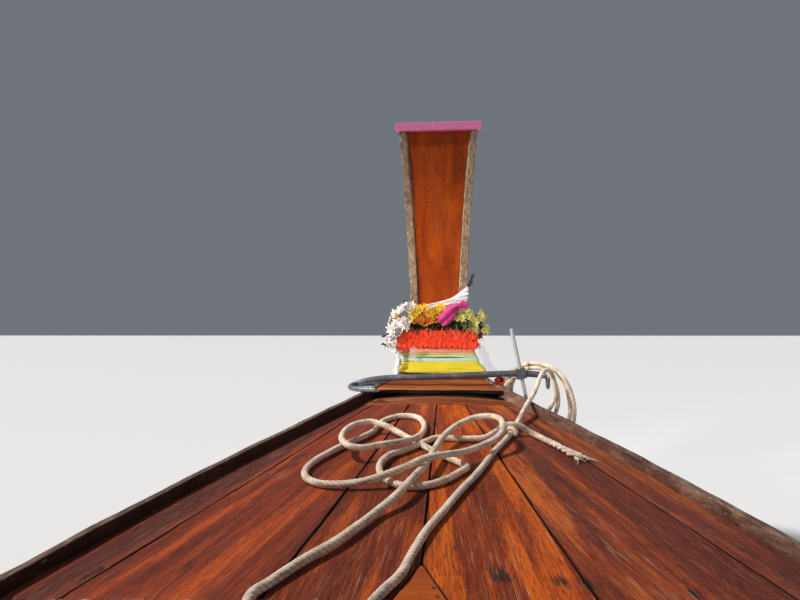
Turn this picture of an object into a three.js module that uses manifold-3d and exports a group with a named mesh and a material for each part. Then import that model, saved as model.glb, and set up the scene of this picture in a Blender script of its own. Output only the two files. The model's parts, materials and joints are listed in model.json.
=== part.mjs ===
// A longtail boat, afloat: a planked wooden hull with a tall prow, a decked bow, an arched canopy
// and an engine that swings on a post and carries its propeller on a long tail.
// Millimetres, +Z up, +Y forward, +X to starboard; the origin is amidships, on the centreline, at the waterline.
import * as THREE from 'three';
import { mergeVertices } from 'three/addons/utils/BufferGeometryUtils.js';
import Module from 'manifold-3d';

const wasm = await Module();
wasm.setup();

// Driving dimensions of the hull
const GAP = 0.5;                 // left between pieces that touch
const STERN_Y = -5000;
const BOW_Y = 4790;              // the planks end here on the stem
const KEEL_HALF = 25;            // half thickness of the keel and the stem
const PLANK = 24;                // hull planking
const RAIL_WIDTHS = [[2280, 60], [2555, 24]];   // gunwale, across: y, width; it thins to a toe rail along the foredeck
const RAIL_DEPTH = 65;
const RAIL_LIP = 95;             // its outer face reaches this far down over the planks
const PLANK_BELOW_RAIL = 77;     // top edge of the planks, below the top of the gunwale

// Hull lines by station: y of the sheer point, half beam at the gunwale, top of the gunwale (up to the deck)
const SHEER = [
  { y: -5000, beam: 700, top: 605 },
  { y: -4000, beam: 800, top: 575 },
  { y: -2500, beam: 890, top: 550 },
  { y: -1000, beam: 930, top: 545 },
  { y: 500, beam: 930, top: 560 },
  { y: 1500, beam: 895, top: 590 },
  { y: 2200, beam: 863, top: 616 },
  { y: 2560, beam: 839, top: 632 },
  { y: 2920, beam: 775, top: 662 },
  { y: 3360, beam: 652, top: 715 },
  { y: 3700, beam: 524, top: 767 },
  { y: 4130, beam: 332, top: 847 },
  { y: 4420, beam: 205, top: 908 },
  { y: 4600, beam: 134, top: 948 },
  { y: 4860, beam: 62, top: 1008 },
];

// The same stations' keel point and bilge control point; forward of y 2000 the stations lean with the stem
const KEEL = [
  { y: -5000, keelY: -5000, keelZ: -190, bilgeY: -5000, bilgeZ: -110 },
  { y: -3000, keelY: -3000, keelZ: -250, bilgeY: -3000, bilgeZ: -165 },
  { y: 0, keelY: 0, keelZ: -280, bilgeY: 0, bilgeZ: -190 },
  { y: 2000, keelY: 2000, keelZ: -280, bilgeY: 2000, bilgeZ: -185 },
  { y: 2560, keelY: 2420, keelZ: -278, bilgeY: 2500, bilgeZ: -180 },
  { y: 3000, keelY: 2640, keelZ: -276, bilgeY: 2860, bilgeZ: -175 },
  { y: 3500, keelY: 2790, keelZ: -274, bilgeY: 3260, bilgeZ: -168 },
  { y: 4000, keelY: 2880, keelZ: -272, bilgeY: 3680, bilgeZ: -160 },
  { y: 4450, keelY: 2930, keelZ: -270, bilgeY: 4010, bilgeZ: -152 },
  { y: 4790, keelY: 2950, keelZ: -270, bilgeY: 4220, bilgeZ: -145 },
];

// Foredeck
const DECK_AFT = 2555;
const DECK_FORE = 4185;
const DECK_PLANK = 25;
const DECK_CAMBER = 18;
const SEAM_INNER = [[2555, 311], [3100, 247], [3500, 195], [3800, 152], [4185, 98]];   // y, x
const SEAM_OUTER = [[2555, 697], [3000, 600], [3200, 545], [3470, 470], [3830, 360], [4010, 290], [4185, 215]];
const SEAM_CENTRE = [[2555, -17], [2722, -20], [3585, -12], [4185, -1]];
const DECK_EDGE = [               // height of the deck along its edge
  { y: 2200, z: 577 }, { y: 2560, z: 600 }, { y: 2920, z: 630 }, { y: 3360, z: 681 }, { y: 3700, z: 730 },
  { y: 4130, z: 805 }, { y: 4420, z: 863 }, { y: 4600, z: 903 },
];
const WEDGE_TIP = 2722;
const WEDGE_HALF = 57;

const spread = (a, b, n) => Array.from({ length: n + 1 }, (_, i) => a + ((b - a) * i) / n);

// Stations that the planks, the gunwales and the foredeck share, so that their straight steps match
const DECK_STATIONS = [DECK_AFT, 2650, ...spread(WEDGE_TIP, DECK_FORE, 10)];
const HULL_STATIONS = [...spread(STERN_Y, 2000, 8), 2280, ...DECK_STATIONS, 4380, 4520, 4680, BOW_Y];

// Prow: height, half width of the aft face, y of the aft face, y of the leading edge of the stem
const PROW = [
  { z: 880, half: 212, aft: 4380, lead: 4846 },
  { z: 930, half: 197, aft: 4391, lead: 4853 },
  { z: 980, half: 177, aft: 4402, lead: 4860 },
  { z: 1040, half: 157, aft: 4415, lead: 4867 },
  { z: 1120, half: 141, aft: 4435, lead: 4876 },
  { z: 1200, half: 137, aft: 4454, lead: 4885 },
  { z: 1300, half: 141, aft: 4480, lead: 4895 },
  { z: 1535, half: 157, aft: 4548, lead: 4917 },
  { z: 1870, half: 184, aft: 4638, lead: 4945 },
  { z: 2222, half: 221, aft: 4728, lead: 4970 },
];
const PROW_TOP = 2222;
const CHEEK = 38;                // side boards of the prow
const PANEL_RECESS = 11;         // the panel between them lies this far inside their aft edges
const PANEL = 22;
const CAP_THICK = 45;
const CAP_OVERHANG = 16;

// Engine: the swivel stands on a post, and the cradle tilts on a pin between its arms
const PIVOT = new THREE.Vector3(0, -4720, 1020);
const TRIM = THREE.MathUtils.degToRad(12.6);
const SHAFT_Z = 110;             // propeller shaft above the pin, in the cradle's frame
const ENGINE_AHEAD = 220;        // the engine sits this far ahead of the pin, to balance the tail
const TAIL_END = -3900;
const BLADE_RADIUS = 150;

// Ropes
const ROPE = 23;
const ANCHOR_Y = 4250;

const finish = (colour, roughness, metalness = 0) =>
  new THREE.MeshStandardMaterial({ color: colour, roughness, metalness });
const TEAK = finish(0x9c4a1f, 0.45);
const DARK_TEAK = finish(0x5e2c18, 0.55);
const GREY_WOOD = finish(0x8a7f70, 0.85);
const PAINTED_WOOD = finish(0x7a3b22, 0.6);
const PINK = finish(0xd8487e, 0.6);
const STEEL = finish(0x55585c, 0.45, 0.8);
const ENGINE_IRON = finish(0x3d4a52, 0.6, 0.5);
const BRONZE = finish(0xa5803c, 0.35, 0.9);
const CANVAS = finish(0xd9d3c2, 0.9);
const ROPE_FIBRE = finish(0xbba585, 0.95);
const YELLOW = finish(0xf2dc1c, 0.85);
const ORANGE = finish(0xf2541c, 0.9);
const BLOSSOM = finish(0xf6c94a, 0.9);
const WHITE = finish(0xe9e4e2, 0.85);

const boat = new THREE.Group();

function addPiece(name, geometry, material, parent = boat) {
  if (geometry.getAttribute('normal') === undefined) geometry.computeVertexNormals();
  const mesh = new THREE.Mesh(geometry, material);
  mesh.name = name;
  parent.add(mesh);
  return mesh;
}

// Smooth curve through a table's column (cubic Hermite, slopes from the neighbours)
function through(table, column) {
  const xs = table.map((row) => row.y ?? row.z);
  const ys = table.map((row) => row[column]);
  const last = xs.length - 1;
  const slope = xs.map((_, i) => {
    const a = Math.max(0, i - 1);
    const b = Math.min(last, i + 1);
    return (ys[b] - ys[a]) / (xs[b] - xs[a]);
  });
  return (x) => {
    const c = Math.min(Math.max(x, xs[0]), xs[last]);
    let i = 0;
    while (i < last - 1 && c > xs[i + 1]) i += 1;
    const h = xs[i + 1] - xs[i];
    const s = (c - xs[i]) / h;
    return (2 * s ** 3 - 3 * s ** 2 + 1) * ys[i] + (s ** 3 - 2 * s ** 2 + s) * h * slope[i]
      + (-2 * s ** 3 + 3 * s ** 2) * ys[i + 1] + (s ** 3 - s ** 2) * h * slope[i + 1];
  };
}

function linear(pairs) {
  return (x) => {
    let i = 0;
    while (i < pairs.length - 2 && x > pairs[i + 1][0]) i += 1;
    const [[x0, y0], [x1, y1]] = [pairs[i], pairs[i + 1]];
    const s = Math.min(Math.max((x - x0) / (x1 - x0), 0), 1);
    return y0 + (y1 - y0) * s;
  };
}

const beamAt = through(SHEER, 'beam');
const railTop = through(SHEER, 'top');
const keelY = through(KEEL, 'keelY');
const keelZ = through(KEEL, 'keelZ');
const bilgeY = through(KEEL, 'bilgeY');
const bilgeZ = through(KEEL, 'bilgeZ');
const prowHalf = through(PROW, 'half');
const prowAft = through(PROW, 'aft');
const prowLead = through(PROW, 'lead');

// Deck surface: its edge line, with a parabolic camber
const railWidth = linear(RAIL_WIDTHS);
const deckHalf = (y) => beamAt(y) - railWidth(y) - GAP;
const deckEdge = through(DECK_EDGE, 'z');
const deckZ = (x, y) => deckEdge(Math.max(y, DECK_AFT))
  + DECK_CAMBER * Math.max(0, 1 - (x / deckHalf(Math.max(y, DECK_AFT))) ** 2);

// A closed body from rows of points. Each row is a loop whose first half and reversed second half
// face each other, so the end caps are strips across it.
function skin(rows) {
  const n = rows[0].length;
  const points = rows.flat();
  const index = [];
  for (let r = 0; r < rows.length - 1; r += 1) {
    for (let i = 0; i < n; i += 1) {
      const a = r * n + i;
      const b = r * n + ((i + 1) % n);
      index.push(a, b, b + n, a, b + n, a + n);
    }
  }
  const end = (rows.length - 1) * n;
  for (let i = 0; i < n / 2 - 1; i += 1) {
    const j = n - 1 - i;
    index.push(i, j, j - 1, i, j - 1, i + 1);
    index.push(end + i, end + j - 1, end + j, end + i, end + i + 1, end + j - 1);
  }
  return orient(points, index);
}

// Turns the faces outward
function orient(points, index) {
  let volume = 0;
  const v = points.map((p) => new THREE.Vector3(...p));
  for (let i = 0; i < index.length; i += 3) {
    volume += v[index[i]].dot(new THREE.Vector3().crossVectors(v[index[i + 1]], v[index[i + 2]]));
  }
  if (volume < 0) {
    for (let i = 0; i < index.length; i += 3) [index[i], index[i + 1]] = [index[i + 1], index[i]];
  }
  const geometry = new THREE.BufferGeometry();
  geometry.setAttribute('position', new THREE.Float32BufferAttribute(points.flat(), 3));
  geometry.setIndex(index);
  return geometry;
}

// A ring from rows of points: the rows close on themselves both ways
function ring(rows) {
  const n = rows[0].length;
  const index = [];
  for (let r = 0; r < rows.length; r += 1) {
    const next = ((r + 1) % rows.length) * n;
    for (let i = 0; i < n; i += 1) {
      const j = (i + 1) % n;
      index.push(r * n + i, r * n + j, next + j, r * n + i, next + j, next + i);
    }
  }
  return orient(rows.flat(), index);
}

const shapeOf = (points) => new THREE.Shape(points.map(([a, b]) => new THREE.Vector2(a, b)));

function plate(points, depth) {
  return new THREE.ExtrudeGeometry(shapeOf(points), { depth, bevelEnabled: false });
}

// Plates by the plane of their outline
const plateXY = (points, z0, z1) => plate(points, z1 - z0).translate(0, 0, z0);
const plateXZ = (points, y0, y1) => plate(points, y1 - y0).rotateX(Math.PI / 2).translate(0, y1, 0);
function plateYZ(points, x0, x1) {
  const axes = new THREE.Matrix4().makeBasis(
    new THREE.Vector3(0, 1, 0), new THREE.Vector3(0, 0, 1), new THREE.Vector3(1, 0, 0));
  return plate(points, x1 - x0).applyMatrix4(axes).translate(x0, 0, 0);
}

function block(x0, x1, y0, y1, z0, z1) {
  return new THREE.BoxGeometry(x1 - x0, y1 - y0, z1 - z0)
    .translate((x0 + x1) / 2, (y0 + y1) / 2, (z0 + z1) / 2);
}

// A round bar between two y values, along Y
function barY(radius, y0, y1, x, z, sides = 24) {
  return new THREE.CylinderGeometry(radius, radius, y1 - y0, sides).translate(x, (y0 + y1) / 2, z);
}

function circle(radius, sides) {
  return shapeOf(Array.from({ length: sides }, (_, i) => {
    const a = (2 * Math.PI * i) / sides;
    return [radius * Math.cos(a), radius * Math.sin(a)];
  }));
}

function tube(curve, radius, steps, sides = 10) {
  return new THREE.ExtrudeGeometry(circle(radius, sides), { steps, extrudePath: curve, bevelEnabled: false });
}

const routeOf = (points) =>
  new THREE.CatmullRomCurve3(points.map((p) => new THREE.Vector3(...p)), false, 'centripetal');

function toSolid(geometry) {
  const bare = geometry.clone();
  for (const name of ['normal', 'uv']) bare.deleteAttribute(name);
  const merged = mergeVertices(bare, 1e-3);
  return new wasm.Manifold(new wasm.Mesh({
    numProp: 3,
    vertProperties: new Float32Array(merged.attributes.position.array),
    triVerts: new Uint32Array(merged.index.array),
  }));
}

function toGeometry(solid) {
  const mesh = solid.getMesh();
  const geometry = new THREE.BufferGeometry();
  geometry.setAttribute('position', new THREE.BufferAttribute(mesh.vertProperties, 3));
  geometry.setIndex(new THREE.BufferAttribute(mesh.triVerts, 1));
  return geometry;
}

const joined = (...geometries) => toGeometry(geometries.map(toSolid).reduce((a, b) => a.add(b)));
const cut = (geometry, ...tools) => toGeometry(tools.map(toSolid).reduce((a, b) => a.subtract(b), toSolid(geometry)));

// The outer skin: a quadratic curve from the keel over the bilge to the sheer, at sheer station y
function skinPoint(y, t) {
  const keel = [KEEL_HALF + 6 + Math.max(0, (y - 2000) / (BOW_Y - 2000)) * (PLANK - 5), keelY(y), keelZ(y)];
  const sheer = [beamAt(y) - 12, y, railTop(y) - PLANK_BELOW_RAIL];
  const bow = Math.max(0, (y - 2000) / (BOW_Y - 2000));
  const fullness = 0.95 - 0.12 * bow;
  const bilge = [Math.max(fullness * sheer[0], keel[0]), bilgeY(y), bilgeZ(y)];
  return keel.map((k, i) => (1 - t) ** 2 * k + 2 * t * (1 - t) * bilge[i] + t ** 2 * sheer[i]);
}

// The skin moved inward by a distance along its normal
function insidePoint(y, t, inward) {
  const step = 0.002;
  const at = new THREE.Vector3(...skinPoint(y, t));
  const up = new THREE.Vector3(...skinPoint(y, Math.min(1, t + step))).sub(new THREE.Vector3(...skinPoint(y, Math.max(0, t - step))));
  const along = new THREE.Vector3(...skinPoint(Math.min(BOW_Y, y + 5), t))
    .sub(new THREE.Vector3(...skinPoint(Math.max(STERN_Y, y - 5), t)));
  const normal = new THREE.Vector3().crossVectors(up, along).normalize();
  if (normal.x > 0) normal.negate();
  at.addScaledVector(normal, inward);
  return [Math.max(at.x, KEEL_HALF + 1), at.y, at.z];
}

// Where the inside of the planking passes a height, as the curve's parameter, for y up to 2000
function insideParameter(y, z, inward) {
  let low = 0;
  let high = 1;
  for (let i = 0; i < 24; i += 1) {
    const mid = (low + high) / 2;
    if (insidePoint(y, mid, inward)[2] < z) low = mid;
    else high = mid;
  }
  return low;
}

const insideHalf = (y, z, inward = PLANK) => insidePoint(y, insideParameter(y, z, inward), inward)[0];

const mirrored = (points, side) => points.map(([x, y, z]) => [side * x, y, z]);
const SIDES = [{ side: 1, label: 'starboard' }, { side: -1, label: 'port' }];

function hullPlanks() {
  const strakes = [
    { label: 'bottom', from: 0, to: 0.42 },
    { label: 'side', from: 0.423, to: 0.72 },
    { label: 'sheer', from: 0.723, to: 1 },
  ];
  for (const { side, label } of SIDES) {
    for (const strake of strakes) {
      const rows = HULL_STATIONS.map((y) => {
        const ts = spread(strake.from, strake.to, 3);
        const outer = ts.map((t) => skinPoint(y, t));
        const inner = ts.map((t) => insidePoint(y, t, PLANK)).reverse();
        return mirrored([...outer, ...inner], side);
      });
      addPiece(`plank_${strake.label}_${label}`, skin(rows), PAINTED_WOOD);
    }
  }
}

function keelAndStem() {
  const scarf = 3000;
  const keelTop = spread(STERN_Y, scarf - GAP, 8).map((y) => [y, keelZ(Math.min(y, 2000)) + 30]);
  const keelFoot = keelTop.map(([y, z]) => [y, z - 75]).reverse();
  addPiece('keel', plateYZ([...keelTop, ...keelFoot], -KEEL_HALF, KEEL_HALF), DARK_TEAK);

  const rabbet = spread(0, 1, 14).map((t) => skinPoint(BOW_Y, t).slice(1)).filter(([y]) => y > scarf + 40);
  const outward = rabbet.map(([y, z], i) => {
    const [a, b] = [rabbet[Math.max(0, i - 1)], rabbet[Math.min(rabbet.length - 1, i + 1)]];
    const length = Math.hypot(b[0] - a[0], b[1] - a[1]);
    return [(b[1] - a[1]) / length, -(b[0] - a[0]) / length];
  });
  const foot = [[scarf, keelZ(2000) + 30], [scarf, keelZ(2000) - 45]];
  const front = rabbet.map(([y, z], i) => [y + 60 * outward[i][0], z + 60 * outward[i][1]]);
  const back = rabbet.map(([y, z], i) => [y - 50 * outward[i][0], z - 50 * outward[i][1]]).reverse();
  const lead = PROW.slice(2).map(({ z, lead: y }) => [y, z]);
  const inner = PROW.slice(2).map(({ z, lead: y }) => [y - 85, z]).reverse();
  const outline = [foot[1], ...front, ...lead, ...inner, ...back, foot[0]];
  addPiece('stem', plateYZ(outline, -KEEL_HALF, KEEL_HALF), DARK_TEAK);
}

function transom() {
  const half = spread(0, 1, 10).map((t) => skinPoint(STERN_Y, t)).map(([x, , z]) => [x, z]);
  const top = railTop(STERN_Y) + 25;
  const outline = [[0, half[0][1] - 20], ...half, [half[10][0], top - 25], [0, top + 10]];
  const port = outline.slice(1, -1).map(([x, z]) => [-x, z]).reverse();
  addPiece('transom', plateXZ([...outline, ...port], STERN_Y - 36, STERN_Y - GAP), PAINTED_WOOD);
}

function gunwales() {
  const stations = [...HULL_STATIONS, 4820];
  for (const { side, label } of SIDES) {
    const rows = stations.map((y) => {
      const outer = beamAt(y);
      const inner = Math.max(outer - railWidth(y), KEEL_HALF + 1);
      const lip = Math.max(outer - 11, inner + 5);
      const top = railTop(y);
      return mirrored([
        [inner, y, top], [outer, y, top], [outer, y, top - RAIL_LIP],
        [lip, y, top - RAIL_LIP], [lip, y, top - RAIL_DEPTH], [inner, y, top - RAIL_DEPTH],
      ], side);
    });
    addPiece(`gunwale_${label}`, skin(rows), GREY_WOOD);
  }
}

const RIBS = spread(-4000, 2000, 12);
const RIB_DEPTH = 45;
const RIB_GAP = 9;
const SOLE_TOP = -40;
const SOLE_THICK = 20;

const FLOOR_TOP = SOLE_TOP - SOLE_THICK - GAP;

// Side timbers from the floors up to the gunwale, joined by an inwale
function ribs() {
  const clear = PLANK + RIB_GAP;
  for (const { side, label } of SIDES) {
    const timbers = RIBS.map((y) => {
      const outer = spread(insideParameter(y, FLOOR_TOP + 3, clear), 0.985, 8).map((t) => insidePoint(y, t, clear));
      const inner = spread(0.985, insideParameter(y, FLOOR_TOP + 3, clear + RIB_DEPTH), 8)
        .map((t) => insidePoint(y, t, clear + RIB_DEPTH));
      return plateXZ([...outer, ...inner].map(([x, , z]) => [side * x, z]), y - 18, y + 18);
    });
    const inwale = skin(spread(-4040, 2040, 10).map((y) => {
      const outer = beamAt(y) - 68;
      const top = railTop(y) - 88;
      return mirrored([[outer, y, top], [outer - 34, y, top], [outer - 34, y, top - 46], [outer, y, top - 46]], side);
    }));
    addPiece(`ribs_${label}`, joined(inwale, ...timbers), TEAK);
  }
}

// Floors that carry the sole, one at each rib, joined by a keelson on the keel
function floorTimbers() {
  const keelTop = 34;
  const floors = RIBS.map((y) => {
    const half = spread(0.1, insideParameter(y, FLOOR_TOP, PLANK + RIB_GAP), 6)
      .map((t) => insidePoint(y, t, PLANK + RIB_GAP)).map(([x, , z]) => [x, Math.max(z, keelZ(y) + keelTop)]);
    const port = half.map(([x, z]) => [-x, z]).reverse();
    return plateXZ([...port, [-KEEL_HALF - 3, keelZ(y) + keelTop], [KEEL_HALF + 3, keelZ(y) + keelTop], ...half], y - 20, y + 20);
  });
  const keelson = skin(spread(-4020, 2020, 6).map((y) => {
    const z = keelZ(y) + keelTop;
    return [[-35, y, z], [35, y, z], [35, y, z + 40], [-35, y, z + 40]];
  }));
  addPiece('floor_timbers', joined(keelson, ...floors), TEAK);
}

function soleAndBenches() {
  const inset = PLANK + RIB_GAP + RIB_DEPTH;
  const edge = RIBS.map((y) => [insideHalf(y, SOLE_TOP - SOLE_THICK - 2, inset) - 6, y]);
  const outline = [...edge, ...edge.map(([x, y]) => [-x, y]).reverse()];
  addPiece('sole', plateXY(outline, SOLE_TOP - SOLE_THICK, SOLE_TOP), TEAK);

  const benches = [-1500, -500, 500, 1500];
  benches.forEach((y, i) => {
    const half = insideHalf(y, 295, inset) - 6;
    addPiece(`thwart_${i + 1}`, block(-half, half, y - 130, y + 130, 300, 326), TEAK);
  });

  const deckZ0 = 400;
  const aft = spread(-4640, -3300, 4).map((y) => [insideHalf(y, deckZ0 - 10) - 70, y]);
  const aftOutline = [...aft, ...aft.map(([x, y]) => [-x, y]).reverse()];
  addPiece('aft_deck', plateXY(aftOutline, deckZ0, deckZ0 + 24), TEAK);
}

function foredeck() {
  const wedgeHalf = (y) => WEDGE_HALF * Math.max(0, (WEDGE_TIP - y) / (WEDGE_TIP - DECK_AFT));
  const seamInner = linear(SEAM_INNER);
  const seamOuter = linear(SEAM_OUTER);
  const seamCentre = linear(SEAM_CENTRE);
  for (const { side, label } of SIDES) {
    const planks = [
      { label: 'inner', from: (y) => side * seamCentre(y) + GAP + wedgeHalf(y), to: (y) => seamInner(y) - 1 },
      { label: 'middle', from: (y) => seamInner(y) + 1, to: (y) => seamOuter(y) - 1 },
      { label: 'outer', from: (y) => seamOuter(y) + 1, to: (y) => deckHalf(y) },
    ];
    for (const plank of planks) {
      const rows = DECK_STATIONS.map((y) => {
        const xs = [plank.from(y), (plank.from(y) + plank.to(y)) / 2, plank.to(y)];
        const top = xs.map((x) => [x, y, deckZ(x, y)]);
        const foot = xs.map((x) => [x, y, deckZ(x, y) - DECK_PLANK]).reverse();
        return mirrored([...top, ...foot], side);
      });
      addPiece(`deck_${plank.label}_${label}`, skin(rows), TEAK);
    }
  }
  const wedgeRows = [DECK_AFT, 2650, WEDGE_TIP - 12].map((y) => {
    const half = wedgeHalf(y) - 1;
    const x = seamCentre(y);
    return [[x + half, y, deckZ(0, y)], [x - half, y, deckZ(0, y)],
      [x - half, y, deckZ(0, y) - DECK_PLANK], [x + half, y, deckZ(0, y) - DECK_PLANK]];
  });
  addPiece('deck_wedge', skin(wedgeRows), TEAK);

  const under = deckEdge(DECK_AFT) - DECK_PLANK - GAP - 2;
  const half = beamAt(DECK_AFT) - 85;
  addPiece('deck_beam', block(-half, half, DECK_AFT - 45, DECK_AFT + 25, under - 95, under), DARK_TEAK);

  // A cleat on the aft face of the beam: a foot and two horns
  const cleatY = DECK_AFT - 45 - GAP;
  const foot = block(-235, -165, cleatY - 34, cleatY, under - 62, under - 34);
  const horns = new THREE.CylinderGeometry(9, 9, 190, 12).rotateZ(Math.PI / 2).translate(-200, cleatY - 30, under - 48);
  addPiece('rope_cleat', joined(foot, horns), STEEL);
}

// The bow board: its aft edge has two shallow arcs that meet in a point
function bowBoard() {
  const [aftY, foreY] = [4165, 4372];
  const [riseAft, riseFore, thick] = [36, 40, 14];
  const arc = (x, half) => aftY + 14 * Math.sin((Math.PI * x) / half) ** 2;
  const across = spread(-1, 1, 16);
  const rows = across.map((s) => {
    const halfAft = deckHalf(aftY) - 2;
    const halfFore = deckHalf(foreY) - 2;
    const a = [s * halfAft, arc(s * halfAft, halfAft), deckEdge(aftY) + riseAft];
    const b = [s * halfFore, foreY, deckEdge(foreY) + riseFore];
    return [a, b, [b[0], b[1], b[2] - thick], [a[0], a[1], a[2] - thick]];
  });
  addPiece('bow_board', skin(rows), TEAK);
}

// The prow's levels run from its foot, which follows the gunwales (s = 0), to its flat head (s = 1).
// Its corners at a level, grown outward: the aft face's edge, and where the cheek meets the stem.
const PROW_LEVELS = [...spread(0, 0.3, 6), ...spread(0.3, 1, 7).slice(1)];
const FOOT_GAP = 2;
const FOOT_AFT = railTop(prowAft(880)) + FOOT_GAP;
const FOOT_FORE = railTop(prowLead(980) - 50) + FOOT_GAP;

function prowCorners(s, grow = 0) {
  const aftZ = FOOT_AFT + (PROW_TOP - FOOT_AFT) * s;
  const foreZ = FOOT_FORE + (PROW_TOP - FOOT_FORE) * s;
  return {
    aft: [prowHalf(aftZ) + grow, prowAft(aftZ) - grow, aftZ],
    fore: [58 + grow, prowLead(foreZ) - 50, foreZ],
    lead: [KEEL_HALF + grow, prowLead(foreZ) + grow, foreZ],
  };
}

function prow() {
  for (const { side, label } of SIDES) {
    const rows = PROW_LEVELS.map((s) => {
      const { aft: [half, aftY, aftZ], fore } = prowCorners(s);
      const [, foreY, foreZ] = fore;
      return mirrored([
        [half, aftY, aftZ], fore, [KEEL_HALF + 1, foreY, foreZ], [half - CHEEK, aftY, aftZ],
      ], side);
    });
    addPiece(`prow_cheek_${label}`, skin(rows), GREY_WOOD);
  }

  const base = railTop(prowAft(880) + PANEL_RECESS + PANEL + 4) + FOOT_GAP;
  const panelRows = PROW_LEVELS.map((s) => {
    const z = base + (PROW_TOP - base) * s;
    const y = prowAft(z) + PANEL_RECESS;
    const depth = prowLead(z) - 50 - prowAft(z);
    const taper = (prowHalf(z) - CHEEK - KEEL_HALF - 1) / depth;
    const half = (inset) => prowHalf(z) - CHEEK - 2 - taper * inset;
    const [a, b] = [half(PANEL_RECESS), half(PANEL_RECESS + PANEL)];
    return [[a, y, z], [-a, y, z], [-b, y + PANEL, z], [b, y + PANEL, z]];
  });
  addPiece('prow_panel', skin(panelRows), TEAK);

  const half = prowHalf(PROW_TOP) + CAP_OVERHANG;
  const [aft, fore] = [prowAft(PROW_TOP) - CAP_OVERHANG, prowLead(PROW_TOP) + CAP_OVERHANG];
  const outline = [[-half, aft], [half, aft], [70, fore], [-70, fore]];
  addPiece('prow_cap', plateXY(outline, PROW_TOP + GAP, PROW_TOP + GAP + CAP_THICK), PINK);
}

// A closed loop of points round the prow at a level, grown outward
function prowLoop(s, grow) {
  const { aft, fore, lead } = prowCorners(s, grow);
  const port = ([x, y, z]) => [-x, y, z];
  const corners = [port(aft), aft, fore, lead, port(lead), port(fore)];
  return corners.flatMap((corner, i) => {
    const next = corners[(i + 1) % corners.length];
    return spread(0, 1, 4).slice(0, -1).map((f) => corner.map((c, k) => c + (next[k] - c) * f));
  });
}

// A band round the prow: level is its middle, tilt raises it toward starboard, height is measured aft
function prowBand(level, tilt, height, inner, outer) {
  const reach = height / 2 / (PROW_TOP - FOOT_AFT);
  const rows = prowLoop(level, 0).map(([x], i) => {
    const middle = level + tilt * x;
    const at = (s, grow) => prowLoop(s, grow)[i];
    return [at(middle - reach, inner), at(middle + reach, inner), at(middle + reach, outer), at(middle - reach, outer)];
  });
  return ring(rows);
}

const levelOf = (z) => (z - FOOT_AFT) / (PROW_TOP - FOOT_AFT);

function prowDressing() {
  addPiece('prow_sashes', prowBand(levelOf(973), 0, 104, 8, 16), YELLOW);
  addPiece('prow_garland', prowBand(levelOf(1069), 0, 84, 4, 66), ORANGE);
  addPiece('prow_scarf', prowBand(levelOf(1288), 0.00034, 44, 4, 17), WHITE);

  const spray = routeOf([[-200, 4530, 1212], [-196, 4430, 1180], [-120, 4386, 1172], [0, 4384, 1172],
    [120, 4386, 1172], [196, 4430, 1184], [200, 4530, 1216]]);
  addPiece('prow_flowers', tube(spray, 34, 24, 8), BLOSSOM);
}

// Anchor laid across the bow: shank with an eye for its stock, two arms with flukes, and a ring
function anchor() {
  const shank =tube(routeOf([[-386, ANCHOR_Y, 868], [-318, ANCHOR_Y, 885], [-240, ANCHOR_Y, 895],
    [0, ANCHOR_Y, 904], [398, ANCHOR_Y, 919], [505, ANCHOR_Y, 909]]), 14.5, 24, 16);
  const arm = (side) => {
    const path = routeOf([[-374, 0, 869], [-398, 40, 862], [-388, 95, 858], [-330, 150, 856], [-268, 178, 856]]
      .map(([x, y, z]) => [x, ANCHOR_Y + side * y, z]));
    return tube(path, 12, 16, 12);
  };
  const fluke = (side) => plateXY(
    [[-250, 196], [-323, 186], [-296, 120]].map(([x, y]) => [x, ANCHOR_Y + side * y]), 852, 860,
  );
  const lean = -0.2;
  const [boxX, boxZ] = [378, 919];
  const boss = new THREE.BoxGeometry(42, 42, 46).rotateY(lean).translate(boxX, ANCHOR_Y, boxZ);
  const upright = (radius, length) => new THREE.CylinderGeometry(radius, radius, length, 20).rotateX(Math.PI / 2).rotateY(lean);
  const hole = upright(9.5, 90).translate(boxX, ANCHOR_Y, boxZ);
  const eye = new THREE.TorusGeometry(30, 6, 10, 24).rotateY(Math.PI / 2).translate(498, ANCHOR_Y, 884);
  const body = joined(shank, arm(-1), arm(1), fluke(-1), fluke(1), boss, eye);
  addPiece('anchor', cut(body, hole), STEEL);
  const slide = 14;
  addPiece('anchor_stock', upright(8.5, 390).translate(boxX + slide * Math.tan(lean), ANCHOR_Y, boxZ + slide), STEEL);
}

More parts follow.
